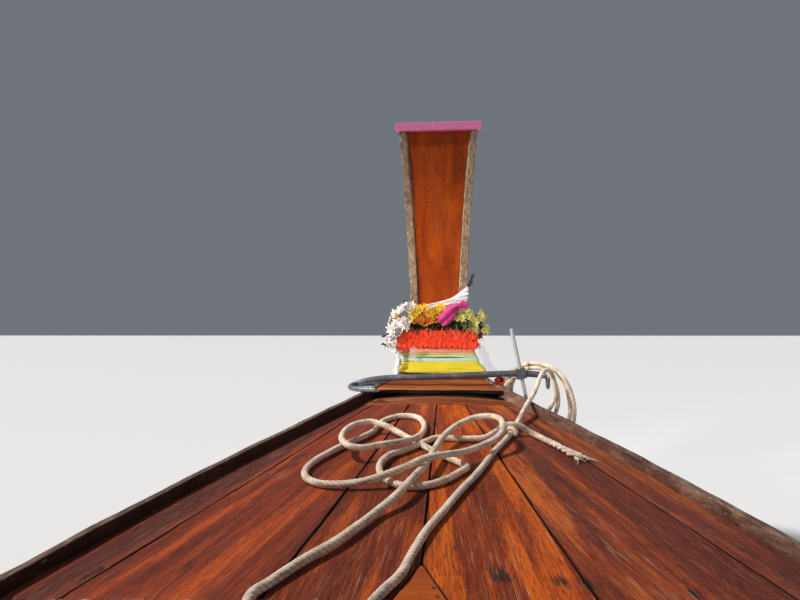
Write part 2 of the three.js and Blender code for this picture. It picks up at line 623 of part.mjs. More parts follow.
// Ropes on the foredeck: points are x, y and height above lying flat, chosen by hand
const BOW_LINE = [
  [-302, 2608, 0], [-253, 2705, 3], [-212, 2774, 4], [-134, 2953, 6], [-92, 3025, 20], [-60, 3125, 24],
  [-29, 3229, 26], [-6, 3350, 28], [12, 3440, 30], [35, 3522, 32], [83, 3608, 40], [138, 3645, 52],
  [187, 3633, 62], [218, 3597, 66], [226, 3546, 62], [218, 3488, 52], [194, 3449, 40], [94, 3348, 30],
  [30, 3262, 46], [-30, 3212, 50], [-103, 3167, 32], [-198, 3132, 12], [-299, 3139, 2], [-343, 3164, 0],
  [-376, 3208, 0], [-389, 3262, 0], [-381, 3338, 0], [-314, 3490, 2], [-234, 3628, 2], [-209, 3756, 0],
  [-186, 3799, 0], [-135, 3833, 0], [-82, 3816, 0], [-52, 3745, 2], [-46, 3650, 4], [-74, 3501, 20],
  [-123, 3437, 28], [-177, 3398, 32], [-230, 3362, 34], [-272, 3362, 40], [-302, 3408, 44],
  [-312, 3470, 44], [-305, 3555, 42], [-280, 3618, 38], [-237, 3650, 34], [-186, 3637, 24], [-136, 3609, 8],
  [-69, 3528, 0], [-14, 3448, 0], [45, 3366, 0], [82, 3320, 0], [94, 3294, 0], [73, 3252, 0], [40, 3200, 0],
  [-8, 3150, 0], [-50, 3133, 0], [-90, 3138, 0], [-125, 3166, 0], [-163, 3245, 2], [-165, 3310, 6],
  [-145, 3385, 4], [-105, 3440, 0], [-40, 3520, 2], [2, 3572, 0], [90, 3569, 0], [165, 3580, 2], [215, 3640, 10],
  [246, 3662, 24],
];
const ANCHOR_LINE = [
  [-82, 2590, 0], [-59, 2645, 0], [-39, 2746, 0], [-10, 2869, 0], [24, 2971, 0], [69, 3105, 0], [124, 3249, 0],
  [186, 3439, 0], [232, 3560, 0], [270, 3664, 0], [310, 3782, 12],
];
const FRAYED_END = [[292, 3657, 26], [333, 3654, 6], [378, 3590, 0], [409, 3537, 0], [447, 3451, 0], [462, 3424, 0]];

// A rope's centreline: points on the deck follow its surface, those before and after are given with their height
class DeckRoute extends THREE.Curve {
  constructor(before, onDeck, after, radius) {
    super();
    const lift = radius + 1;
    const points = [
      ...before, ...onDeck.map(([x, y, rise]) => [x, y, deckZ(x, y) + lift + rise]), ...after,
    ];
    this.lift = lift;
    this.route = routeOf(points);
  }

  getPoint(t) {
    const p = this.route.getPoint(t);
    if (p.y > DECK_AFT + 4 && Math.abs(p.x) < deckHalf(p.y) - 20) p.z = Math.max(p.z, deckZ(p.x, p.y) + this.lift);
    return p;
  }
}

function ropes() {
  const edgeZ = deckZ(0, DECK_AFT) + ROPE / 2;
  const cleatZ = edgeZ - ROPE / 2 - DECK_CAMBER - DECK_PLANK - 50 + 22;
  const bowAft = [[-262, 2466, cleatZ], [-290, 2484, cleatZ + 30], [-318, 2516, edgeZ - 16], [-324, 2548, edgeZ - 1]];
  const anchorAft = [[-138, 2466, cleatZ], [-124, 2484, cleatZ + 30], [-108, 2516, edgeZ - 6], [-98, 2546, edgeZ]];
  addPiece('rope_bow_line', tube(new DeckRoute(bowAft, BOW_LINE, [], ROPE / 2), ROPE / 2, 80, 8), ROPE_FIBRE);

  const overRail = [[340, 3868, 800], [362, 3933, 818], [389, 4000, 839], [405, 4035, 854], [423, 4070, 880],
    [441, 4105, 912], [460, 4136, 934]];
  addPiece('rope_anchor_line', tube(new DeckRoute(anchorAft, ANCHOR_LINE, overRail, ROPE / 2), ROPE / 2, 48, 8), ROPE_FIBRE);
  addPiece('rope_frayed_end', tube(new DeckRoute([], FRAYED_END, [], 8), 8, 10, 8), ROPE_FIBRE);

  // The hank that hangs on the anchor's end: an oval ring of three turns in an upright plane
  const [halfWide, halfTall, thick] = [194, 205, 23];
  const across = new THREE.Vector3(0.736, -0.677, 0);
  const outOfPlane = new THREE.Vector3(0.677, 0.736, 0);
  const centre = new THREE.Vector3(450, ANCHOR_Y + 33, 760);
  const rows = spread(0, 2 * Math.PI, 32).slice(0, -1).map((a) => {
    const corner = (out, side) => {
      const p = centre.clone().addScaledVector(across, (halfWide + out) * Math.cos(a));
      p.addScaledVector(outOfPlane, side);
      p.z += (halfTall + out) * Math.sin(a);
      return p.toArray();
    };
    return [corner(-thick, -thick), corner(thick, -thick), corner(thick, thick), corner(-thick, thick)];
  });
  addPiece('rope_hanging_coil', ring(rows), ROPE_FIBRE);
}

// Canopy: hoops that stand on the gunwales, and a thin arched roof with side battens
const ROOF_EDGE = 1690;
const ROOF_CROWN = 1800;
const ROOF_HALF = 880;

function canopy() {
  const arch = (x, z0) => z0 + (ROOF_CROWN - ROOF_EDGE) * (1 - (x / ROOF_HALF) ** 2);
  const hoops = [2300, 800, -700, -2200];
  hoops.forEach((y, i) => {
    const foot = beamAt(y) - 12;
    const head = 800;
    const z = railTop(y) + 4;
    const bend = ROOF_EDGE - 60;
    const crown = (half, drop) => spread(half, -half, 10).map((x) => [x, arch(x, ROOF_EDGE) - drop]);
    const outer = [[foot, z], [head, bend], ...crown(head - 14, 8), [-head, bend], [-foot, z]];
    const inner = [[-foot + 36, z], [-head + 36, bend], ...crown(head - 62, 44).reverse(), [head - 36, bend], [foot - 36, z]];
    addPiece(`canopy_hoop_${i + 1}`, plateXZ([...outer, ...inner], y - 18, y + 18), DARK_TEAK);
  });
  const top = spread(-ROOF_HALF, ROOF_HALF, 16).map((x) => [x, arch(x, ROOF_EDGE) + 12]);
  const under = spread(ROOF_HALF - 26, -ROOF_HALF + 26, 14).map((x) => [x, arch(x, ROOF_EDGE)]);
  const edge = [[ROOF_HALF, ROOF_EDGE - 32], [ROOF_HALF - 26, ROOF_EDGE - 32]];
  const outline = [...top, ...edge, ...under, [-ROOF_HALF + 26, ROOF_EDGE - 32], [-ROOF_HALF, ROOF_EDGE - 32]];
  addPiece('canopy_roof', plateXZ(outline, -2420, 2420), CANVAS);
}

function engineMounting() {
  const half = insideHalf(PIVOT.y - 60, 360) - 3;
  addPiece('stern_beam', block(-half, half, PIVOT.y - 60, PIVOT.y + 60, 360, 520), DARK_TEAK);
  const foot = new THREE.CylinderGeometry(100, 100, 16, 32).rotateX(Math.PI / 2).translate(0, PIVOT.y, 520 + GAP + 8);
  const post = new THREE.CylinderGeometry(55, 55, 270, 32).rotateX(Math.PI / 2).translate(0, PIVOT.y, 520 + GAP + 145);
  addPiece('engine_post', joined(foot, post), STEEL);
}

const engine = new THREE.Group();
engine.position.copy(PIVOT);
engine.rotation.x = TRIM;

function swivelYoke() {
  const foot = 520 + GAP + 280 + GAP;
  const top = PIVOT.z + 45;
  const outline = [[-164, foot], [164, foot], [164, top], [150, top], [150, foot + 24], [-150, foot + 24], [-150, top], [-164, top]];
  addPiece('swivel_yoke', plateXZ(outline, PIVOT.y - 45, PIVOT.y + 45), STEEL);
}

function cradle() {
  const frame = shapeOf([[-140, -180], [140, -180], [140, 700], [-140, 700]]);
  frame.holes.push(new THREE.Path([[-100, -140], [-100, 660], [100, 660], [100, -140]].map(([x, y]) => new THREE.Vector2(x, y))));
  const rails = new THREE.ExtrudeGeometry(frame, { depth: 60, bevelEnabled: false }).translate(0, 0, -30);
  const pin = (x) => new THREE.CylinderGeometry(20, 20, 20, 24).rotateZ(Math.PI / 2).translate(x, 0, 0);
  addPiece('engine_cradle', joined(rails, pin(139), pin(-139)), STEEL, engine);
}

function engineBody() {
  const runners = spread(-210, 210, 3).map((y) => block(-150, -78, y - 18, y + 18, 262, 298));
  const parts = [
    block(-110, 110, -300, 300, 30.5, 262), block(-82, 82, -290, 290, 260, 362), block(-60, 60, -270, 270, 360, 410),
    block(-85, 85, -200, 200, -90, 32), barY(150, -362, -298, 0, 182, 32), block(-78, 78, -560, -360, 36, 195),
    block(-92, 92, 298, 340, 60, 250), barY(30, 338, 362, 0, SHAFT_Z), barY(85, 360, 388, 0, SHAFT_Z, 32),
    barY(50, 150, 350, -155, 190, 24), block(-118, -80, 200, 300, 150, 230), block(-178, -148, -240, 240, 256, 304),
    barY(34, 338, 376, -155, 190, 24), barY(20, 348, 364, -155, 190, 16), ...runners,
  ];
  addPiece('engine_block', joined(...parts).translate(0, ENGINE_AHEAD, 0), ENGINE_IRON, engine);

  const pipe = tube(routeOf([[132, -200, 296], [140, -270, 300], [150, -330, 360], [150, -345, 460], [150, -350, 620]]), 24, 16, 14);
  const ports = spread(-210, 210, 3).map((y) => block(82 + GAP, 122, y - 20, y + 20, 272, 312));
  const exhaust = joined(block(116, 156, -240, 240, 268, 318), pipe, ...ports);
  addPiece('engine_exhaust', exhaust.translate(0, ENGINE_AHEAD, 0), STEEL, engine);

  const pan = new THREE.CylinderGeometry(120, 120, 70, 32).rotateX(Math.PI / 2).translate(0, 90, 472);
  const neck = new THREE.CylinderGeometry(40, 40, 40, 24).rotateX(Math.PI / 2).translate(0, 90, 430.5);
  addPiece('engine_air_cleaner', joined(pan, neck).translate(0, ENGINE_AHEAD, 0), STEEL, engine);
}

function tail() {
  const root = ENGINE_AHEAD - 560 - GAP;
  const flange = barY(75, root - 18, root, 0, SHAFT_Z, 32);
  const tubeBar = barY(32, TAIL_END, root - 10, 0, SHAFT_Z, 20);
  const skeg = plateYZ([[-3480, 90], [-3880, 90], [-3872, -60], [-3850, -130], [-3800, -120], [-3700, 20]], -4, 4);
  addPiece('tail_tube', joined(flange, tubeBar, skeg), STEEL, engine);

  const handle = tube(routeOf([[0, 702, 0], [0, 840, -8], [0, 1060, -84], [0, 1500, -235], [0, 2050, -420]]), 17, 20, 14);
  const grip = tube(routeOf([[0, 1880, -363], [0, 1970, -393], [0, 2060, -423]]), 23, 4, 14);
  addPiece('tiller', joined(handle, grip), STEEL, engine);
}

function propeller() {
  const middle = TAIL_END - 50;
  const shaft = barY(14, TAIL_END - 40, TAIL_END - 1, 0, 0, 16);
  const hub = barY(28, TAIL_END - 88, TAIL_END - 14, 0, 0, 20);
  const blade = skin([
    { r: 20, chord: 44, pitch: 1.1, thick: 9 },
    { r: 60, chord: 78, pitch: 0.85, thick: 7 },
    { r: 105, chord: 92, pitch: 0.65, thick: 5 },
    { r: BLADE_RADIUS - 8, chord: 60, pitch: 0.55, thick: 3 },
    { r: BLADE_RADIUS, chord: 24, pitch: 0.52, thick: 2 },
  ].map(({ r, chord, pitch, thick }) => {
    const corner = (c, t) => {
      const [a, b] = [(c * chord) / 2, (t * thick) / 2];
      return [a * Math.cos(pitch) - b * Math.sin(pitch), middle + a * Math.sin(pitch) + b * Math.cos(pitch), r];
    };
    return [corner(-1, -1), corner(1, -1), corner(1, 1), corner(-1, 1)];
  }));
  const blades = [0, 1, 2].map((i) => blade.clone().rotateY((2 * Math.PI * i) / 3));
  addPiece('propeller', joined(shaft, hub, ...blades).translate(0, 0, SHAFT_Z), BRONZE, engine);
}

hullPlanks();
keelAndStem();
transom();
gunwales();
ribs();
floorTimbers();
soleAndBenches();
foredeck();
bowBoard();
prow();
prowDressing();
anchor();
ropes();
canopy();
engineMounting();
swivelYoke();
boat.add(engine);
cradle();
engineBody();
tail();
propeller();

export default boat;
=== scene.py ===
"""A wooden longtail boat with a decked bow: varnished planks, a tall prow dressed with cloths and flowers,
an anchor, loose ropes, a canvas canopy and an engine with a long tail. Every size is in metres."""
import json
import math

import bmesh
import bpy
import numpy as np
from bpy.props import FloatProperty, FloatVectorProperty, IntProperty, PointerProperty
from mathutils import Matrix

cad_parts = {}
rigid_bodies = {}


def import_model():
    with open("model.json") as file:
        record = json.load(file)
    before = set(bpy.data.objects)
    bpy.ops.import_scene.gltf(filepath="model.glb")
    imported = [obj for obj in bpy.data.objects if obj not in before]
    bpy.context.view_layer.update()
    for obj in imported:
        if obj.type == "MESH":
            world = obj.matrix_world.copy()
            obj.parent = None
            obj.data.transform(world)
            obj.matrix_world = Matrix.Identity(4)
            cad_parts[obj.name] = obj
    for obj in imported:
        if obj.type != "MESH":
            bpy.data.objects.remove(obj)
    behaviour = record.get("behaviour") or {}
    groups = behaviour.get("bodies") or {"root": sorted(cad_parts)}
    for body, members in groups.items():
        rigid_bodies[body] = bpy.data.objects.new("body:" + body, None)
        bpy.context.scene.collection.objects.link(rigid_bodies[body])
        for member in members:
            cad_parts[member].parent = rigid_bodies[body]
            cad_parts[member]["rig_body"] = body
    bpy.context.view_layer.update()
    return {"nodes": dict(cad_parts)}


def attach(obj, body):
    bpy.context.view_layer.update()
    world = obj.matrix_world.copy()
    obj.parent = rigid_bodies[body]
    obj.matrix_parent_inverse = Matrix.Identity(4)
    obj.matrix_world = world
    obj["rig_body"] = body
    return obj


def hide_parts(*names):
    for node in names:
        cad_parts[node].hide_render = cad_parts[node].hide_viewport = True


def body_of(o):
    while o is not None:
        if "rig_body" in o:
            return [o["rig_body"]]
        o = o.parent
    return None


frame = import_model()

bl_info = {
    "name": "Longtail Boat",
    "version": (1, 0, 0),
    "blender": (4, 5, 0),
    "location": "View3D > Sidebar > Longtail Boat",
    "description": "Dresses the solids of a wooden longtail boat with planks, cloths, ropes and flowers",
    "category": "Object",
}

# Hull lines: station along the boat, half beam, top of the gunwale
SHEER = np.array([
    (-5.0, 0.7, 0.605), (-4.0, 0.8, 0.575), (-2.5, 0.89, 0.55), (-1.0, 0.93, 0.545), (0.5, 0.93, 0.56),
    (1.5, 0.895, 0.59), (2.2, 0.863, 0.616), (2.56, 0.839, 0.632), (2.92, 0.775, 0.662), (3.36, 0.652, 0.715),
    (3.7, 0.524, 0.767), (4.13, 0.332, 0.847), (4.42, 0.205, 0.908), (4.6, 0.134, 0.948), (4.86, 0.062, 1.008)])
# Prow: height, half width, aft face, leading edge
PROW = np.array([
    (0.88, 0.212, 4.38, 4.846), (0.93, 0.197, 4.391, 4.853), (0.98, 0.177, 4.402, 4.86),
    (1.04, 0.157, 4.415, 4.867), (1.12, 0.141, 4.435, 4.876), (1.2, 0.137, 4.454, 4.885),
    (1.3, 0.141, 4.48, 4.895), (1.535, 0.157, 4.548, 4.917), (1.87, 0.184, 4.638, 4.945),
    (2.222, 0.221, 4.728, 4.97)])
PROW_TOP = 2.222
# The prow's fore corners: half width and distance aft of the leading edge, then that edge's own half width
FORE_HALF, FORE_BACK, TIP_HALF = 0.058, 0.05, 0.025
DECK_AFT, DECK_FORE = 2.555, 4.185
# Thickness of a deck plank and the rise of the deck's middle over its edges
DECK_PLANK, DECK_CAMBER = 0.025, 0.018
# Gunwales: width by station, depth of the inner face and of the outer lip, gap to the deck
RAIL_WIDTHS = np.array([(2.28, 0.06), (2.555, 0.024)])
RAIL_DEPTH, RAIL_LIP = 0.065, 0.095
GAP = 0.0005
# Seams between the planks, by station, and the height of the deck's edges
SEAM_INNER = np.array([(2.555, 0.311), (3.1, 0.247), (3.5, 0.195), (3.8, 0.152), (4.185, 0.098)])
SEAM_OUTER = np.array([(2.555, 0.697), (3.0, 0.6), (3.2, 0.545), (3.47, 0.47), (3.83, 0.36), (4.01, 0.29),
                       (4.185, 0.215)])
SEAM_CENTRE = np.array([(2.555, -0.017), (2.722, -0.02), (3.585, -0.012), (4.185, -0.001)])
DECK_EDGE = np.array([(2.2, 0.577), (2.56, 0.6), (2.92, 0.63), (3.36, 0.681), (3.7, 0.73), (4.13, 0.805),
                      (4.42, 0.863), (4.6, 0.903)])
# Half the gap between two planks, the gap beside the middle seam, and how far forward the planks' ends are worn
SEAM_HALF, WEDGE_GAP = 0.0018, 0.0016
CHEWED, BARE_END = 0.03, 0.022
CROSS_AFT = 4.045
WEDGE_TIP, WEDGE_HALF = 2.722, 0.057
# The diameter of the bow line, and the distance between points along both ropes
ROPE, ROPE_STEP = 0.0205, 0.0022
BOTH_SIDES = ((1, "starboard"), (-1, "port"))


def hermite(s, h, a, b, slope_a, slope_b):
    """A cubic piece from a to b over the stretch h, at the shares s of it, with the slopes at its two ends."""
    return ((2 * s**3 - 3 * s**2 + 1) * a + (s**3 - 2 * s**2 + s) * h * slope_a
            + (3 * s**2 - 2 * s**3) * b + (s**3 - s**2) * h * slope_b)


def through(table, column):
    """A smooth line through a table's column: cubic Hermite pieces, with the neighbours' chords as slopes."""
    xs, ys = table[:, 0], table[:, column]
    low = np.maximum(np.arange(len(xs)) - 1, 0)
    high = np.minimum(np.arange(len(xs)) + 1, len(xs) - 1)
    slope = (ys[high] - ys[low]) / (xs[high] - xs[low])

    def at(x):
        c = np.clip(x, xs[0], xs[-1])
        i = np.clip(np.searchsorted(xs, c, side="right") - 1, 0, len(xs) - 2)
        h = xs[i + 1] - xs[i]
        return hermite((c - xs[i]) / h, h, ys[i], ys[i + 1], slope[i], slope[i + 1])

    return at


def read(table, y):
    """The value at y on the straight lines between a table's points."""
    return np.interp(y, table[:, 0], table[:, 1])


beam_at, rail_top, deck_edge = through(SHEER, 1), through(SHEER, 2), through(DECK_EDGE, 1)
prow_half, prow_aft, prow_lead = through(PROW, 1), through(PROW, 2), through(PROW, 3)


def rail_width(y):
    return read(RAIL_WIDTHS, y)


def deck_half(y):
    return beam_at(y) - rail_width(y) - GAP


def deck_z(x, y):
    """Deck height: its edge line, plus a camber that falls with the square of x."""
    y = np.maximum(y, DECK_AFT)
    return deck_edge(y) + DECK_CAMBER * np.maximum(0, 1 - (x / deck_half(y)) ** 2)


def unit(vectors):
    return vectors / np.linalg.norm(vectors, axis=-1, keepdims=True)


def run_of(path):
    """How far along the path each of its points lies."""
    return np.concatenate([[0], np.cumsum(np.linalg.norm(np.diff(path, axis=0), axis=1))])


def length_of(path):
    return float(np.linalg.norm(np.diff(path, axis=0), axis=1).sum())


def ripples(points, size, seed):
    """Smooth noise between about -1 and 1: a sum of sine waves in random directions, each about size long."""
    rng = np.random.default_rng(seed)
    waves = 14
    directions = unit(rng.normal(size=(waves, 3))) * (2 * np.pi / (size * rng.uniform(0.6, 1.6, (waves, 1))))
    phases = rng.uniform(0, 2 * np.pi, waves)
    return np.sin(np.asarray(points) @ directions.T + phases).sum(axis=-1) * math.sqrt(2 / waves) * 0.6


def grid(points, wrap_u=False, wrap_v=False, uv=None, cap=False):
    """Quads over a grid of points (rows u, columns v). uv is a grid with one more row or column where it wraps.
    cap closes the first and the last row's loop with one face each."""
    n, m = points.shape[:2]
    i, j = np.meshgrid(np.arange(n if wrap_u else n - 1), np.arange(m if wrap_v else m - 1), indexing="ij")
    i1, j1 = (i + 1) % n, (j + 1) % m
    quads = np.stack([i * m + j, i1 * m + j, i1 * m + j1, i * m + j1], axis=-1).reshape(-1, 4)
    faces = quads.tolist()
    corners = np.zeros((quads.size, 2))
    if uv is not None:
        corners = np.stack([uv[i, j], uv[i + 1, j], uv[i + 1, j + 1], uv[i, j + 1]], axis=2).reshape(-1, 2)
    if cap:
        first, last = np.arange(m), (n - 1) * m + np.arange(m)[::-1]
        faces += [first.tolist(), last.tolist()]
        ends = np.zeros((2 * m, 2)) if uv is None else np.concatenate([uv[0, :m], uv[-1, :m][::-1]])
        corners = np.concatenate([corners, ends])
    return points.reshape(-1, 3), faces, corners


def even_map(rows, columns, high, wide):
    """A map in even steps: from 0 to high over the rows, and from 0 to wide over the columns."""
    steps = np.linspace(0, high, rows), np.linspace(0, wide, columns)
    return np.stack(np.meshgrid(*steps, indexing="ij"), axis=-1)


def join(parts):
    """Several (points, faces, corners) as one, with the face numbers moved on by the points before them."""
    points, faces, corners, start = [], [], [], 0
    for part in parts:
        points.append(part[0])
        faces += [[v + start for v in face] for face in part[1]]
        corners.append(part[2])
        start += len(part[0])
    return np.concatenate(points), faces, np.concatenate(corners)


def scatter(shape, places, turns, sizes):
    """Copies of a small shape: its points times each turn matrix and size, plus each place."""
    points, faces, corners = shape
    moved = np.einsum("nij,kj->nki", turns, points) * np.asarray(sizes).reshape(-1, 1, 1) + places[:, None, :]
    count = len(places)
    step = np.arange(count) * len(points)
    index = [np.array(face) for face in faces]
    faces = [row for face in index for row in (face[None, :] + step[:, None]).tolist()]
    width = np.cumsum([0] + [len(face) for face in index])
    corners = np.concatenate([np.tile(corners[a:b], (count, 1)) for a, b in zip(width[:-1], width[1:])])
    return moved.reshape(-1, 3), faces, corners


def loft(rows, uv=None):
    """A closed body through rows of section loops, capped at both ends."""
    return grid(np.asarray(rows), wrap_v=True, cap=True, uv=uv)


def basis(count, samples):
    """Weights of Catmull-Rom splines: row k gives what each of the control points adds to sample k."""
    t = np.linspace(0, count - 1, samples)
    i = np.minimum(t.astype(int), count - 2)
    s = t - i
    weights = np.zeros((samples, count))
    rows = np.arange(samples)
    for shift, value in ((-1, -s / 2 + s**2 - s**3 / 2), (0, 1 - 2.5 * s**2 + 1.5 * s**3),
                         (1, s / 2 + 2 * s**2 - 1.5 * s**3), (2, -(s**2) / 2 + s**3 / 2)):
        k = i + shift
        inside = np.clip(k, 0, count - 1)
        np.add.at(weights, (rows, inside), value)
        # a point past the end continues the line through the last two
        for past, end, before in ((k < 0, 0, 1), (k > count - 1, count - 1, count - 2)):
            np.add.at(weights, (rows[past], np.full(past.sum(), end)), value[past])
            np.add.at(weights, (rows[past], np.full(past.sum(), before)), -value[past])
    return weights


def net(controls, across, along):
    """A smooth surface through a net of control points, by Catmull-Rom weights both ways."""
    controls = np.asarray(controls, float)
    rows, columns = controls.shape[:2]
    return np.einsum("ua,vb,abk->uvk", basis(rows, across), basis(columns, along), controls)


def resample(path, step):
    """The same path with points evenly spaced along it."""
    length = run_of(path)
    count = max(2, int(round(length[-1] / step)) + 1)
    at = np.linspace(0, length[-1], count)
    return np.stack([np.interp(at, length, path[:, k]) for k in range(3)], axis=1)


def curve(points, step):
    """A centripetal Catmull-Rom curve through the points, as cubic Hermite pieces, sampled evenly."""
    p = np.asarray(points, float)
    p = np.concatenate([[2 * p[0] - p[1]], p, [2 * p[-1] - p[-2]]])
    t = np.concatenate([[0], np.cumsum(np.linalg.norm(np.diff(p, axis=0), axis=1) ** 0.5)])
    d1 = (p[1:-1] - p[:-2]) / (t[1:-1] - t[:-2])[:, None]
    d2 = (p[2:] - p[1:-1]) / (t[2:] - t[1:-1])[:, None]
    d3 = (p[2:] - p[:-2]) / (t[2:] - t[:-2])[:, None]
    slope = d1 + d2 - d3
    s = np.linspace(0, 1, 24, endpoint=False)[None, :, None]
    h = (t[2:-1] - t[1:-2])[:, None, None]
    body = hermite(s, h, p[1:-2, None], p[2:-1, None], slope[:-1, None], slope[1:, None])
    return resample(np.concatenate([body.reshape(-1, 3), p[-2:-1]]), step)


def frames(path):
    """Unit tangents, sides and ups along a path, carried on from point to point by two reflections, which don't
    twist them."""
    tangent = unit(np.gradient(path, axis=0))
    side = np.zeros_like(path)
    start = (0, 0, 1.0) if abs(tangent[0, 2]) < 0.9 else (1.0, 0, 0)
    side[0] = unit(np.cross(tangent[0], start))
    for k in range(len(path) - 1):
        chord = path[k + 1] - path[k]
        size = chord @ chord
        mirrored = side[k] - 2 / size * (chord @ side[k]) * chord
        turned = tangent[k] - 2 / size * (chord @ tangent[k]) * chord
        second = tangent[k + 1] - turned
        size = second @ second
        side[k + 1] = mirrored - (2 / size * (second @ mirrored) * second if size > 1e-18 else 0)
    return tangent, side, np.cross(side, tangent)


def tube(path, radius, around=10):
    """A tube along a path: circles, or other rounds where radius is a grid of radii by (point, angle)."""
    _, side, up = frames(path)
    angle = np.linspace(0, 2 * np.pi, around, endpoint=False)
    radii = np.broadcast_to(radius if np.ndim(radius) != 1 else np.asarray(radius)[:, None], (len(path), around))
    points = (path[:, None] + radii[..., None] * (np.cos(angle)[None, :, None] * side[:, None]
                                                  + np.sin(angle)[None, :, None] * up[:, None]))
    uv = np.stack(np.broadcast_arrays(run_of(path)[:, None], np.linspace(0, 1, around + 1)), axis=-1)
    return loft(points, uv)


def box(low, high):
    """A box with its faces pointing out."""
    (a, b, c), (d, e, f) = low, high
    points = np.array([(a, b, c), (d, b, c), (d, e, c), (a, e, c), (a, b, f), (d, b, f), (d, e, f), (a, e, f)])
    faces = [[0, 3, 2, 1], [4, 5, 6, 7], [0, 1, 5, 4], [1, 2, 6, 5], [2, 3, 7, 6], [3, 0, 4, 7]]
    return points, faces, np.zeros((24, 2))


def make(name, shape, finish, bevel=0, smooth=35, thick=0, closed=True, values=None):
    """Puts a shape into a mesh object on the hull, with its material and modifiers. smooth is the angle in
    degrees past which an edge stays sharp, and values are attributes on the points."""
    points, faces, corners = shape
    mesh = bpy.data.meshes.new(name)
    mesh.from_pydata(np.asarray(points).tolist(), [], faces)
    layer = mesh.uv_layers.new(name="Along and across")
    layer.data.foreach_set("uv", corners.ravel())
    for key, numbers in (values or {}).items():
        mesh.attributes.new(key, "FLOAT", "POINT").data.foreach_set("value", np.asarray(numbers, float).ravel())
    if closed:
        work = bmesh.new()
        work.from_mesh(mesh)
        bmesh.ops.recalc_face_normals(work, faces=work.faces)
        work.to_mesh(mesh)
        work.free()
    return dress(name, mesh, finish, bevel, smooth, thick)


def dress(name, mesh, finish, bevel, smooth, thick=0, body="hull"):
    """The object of a finished mesh, with a wall and soft edges where they are asked for."""
    mesh.materials.clear()
    mesh.materials.append(finish)
    mesh.shade_smooth()
    if smooth < 180:
        mesh.set_sharp_from_angle(angle=math.radians(smooth))
    piece = bpy.data.objects.new(name, mesh)
    bpy.context.scene.collection.objects.link(piece)
    if thick:
        wall = piece.modifiers.new("Wall", "SOLIDIFY")
        wall.thickness, wall.offset = thick, 0
    if bevel:
        edge = piece.modifiers.new("Soft edges", "BEVEL")
        edge.width, edge.segments, edge.limit_method = bevel, 2, "ANGLE"
        edge.angle_limit = math.radians(smooth)
        edge.harden_normals = True
    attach(piece, body)
    return piece


def softened(node, finish, bevel=0.003, smooth=35, cut=0, worn=0):
    """A copy of a CAD node with its loose triangles merged and its edges softened, which replaces the node.
    Edges longer than cut are divided, and worn moves the points by that much, in slow waves."""
    source = frame["nodes"][node]
    mesh = source.data.copy()
    work = bmesh.new()
    work.from_mesh(mesh)
    bmesh.ops.remove_doubles(work, verts=work.verts, dist=1e-5)
    bmesh.ops.dissolve_limit(work, angle_limit=math.radians(0.5), verts=work.verts, edges=work.edges)
    if cut:
        for _ in range(6):
            long = [edge for edge in work.edges if edge.calc_length() > cut]
            if not long:
                break
            bmesh.ops.subdivide_edges(work, edges=long, cuts=1, use_grid_fill=True)
    work.to_mesh(mesh)
    work.free()
    if worn:
        points = np.empty(len(mesh.vertices) * 3)
        mesh.vertices.foreach_get("co", points)
        points = points.reshape(-1, 3)
        points += worn * np.stack([ripples(points, 0.09, seed) for seed in (3, 4, 5)], axis=1)
        mesh.vertices.foreach_set("co", points.ravel())
    piece = dress(node + "_worn" if worn else node + "_soft", mesh, finish, bevel, smooth,
                  body=body_of(source)[0])
    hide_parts(node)
    return piece


def tone(value):
    """A colour written as 0xRRGGBB, as the linear light that shaders take."""
    parts = np.array([value >> 16 & 255, value >> 8 & 255, value & 255]) / 255
    return (*np.where(parts <= 0.04045, parts / 12.92, ((parts + 0.055) / 1.055) ** 2.4), 1.0)


def whole(colour):
    """A linear colour as the number 0xRRGGBB nearest to it."""
    parts = np.clip(np.array(colour[:3]), 0, 1)
    parts = np.where(parts <= 0.0031308, parts * 12.92, 1.055 * parts ** (1 / 2.4) - 0.055)
    red, green, blue = (int(round(255 * part)) for part in parts)
    return red << 16 | green << 8 | blue


def dimmed(colour, share):
    """A colour written 0xRRGGBB, darkened to a share of its light."""
    return tuple(share * part for part in tone(colour)[:3]) + (1,)


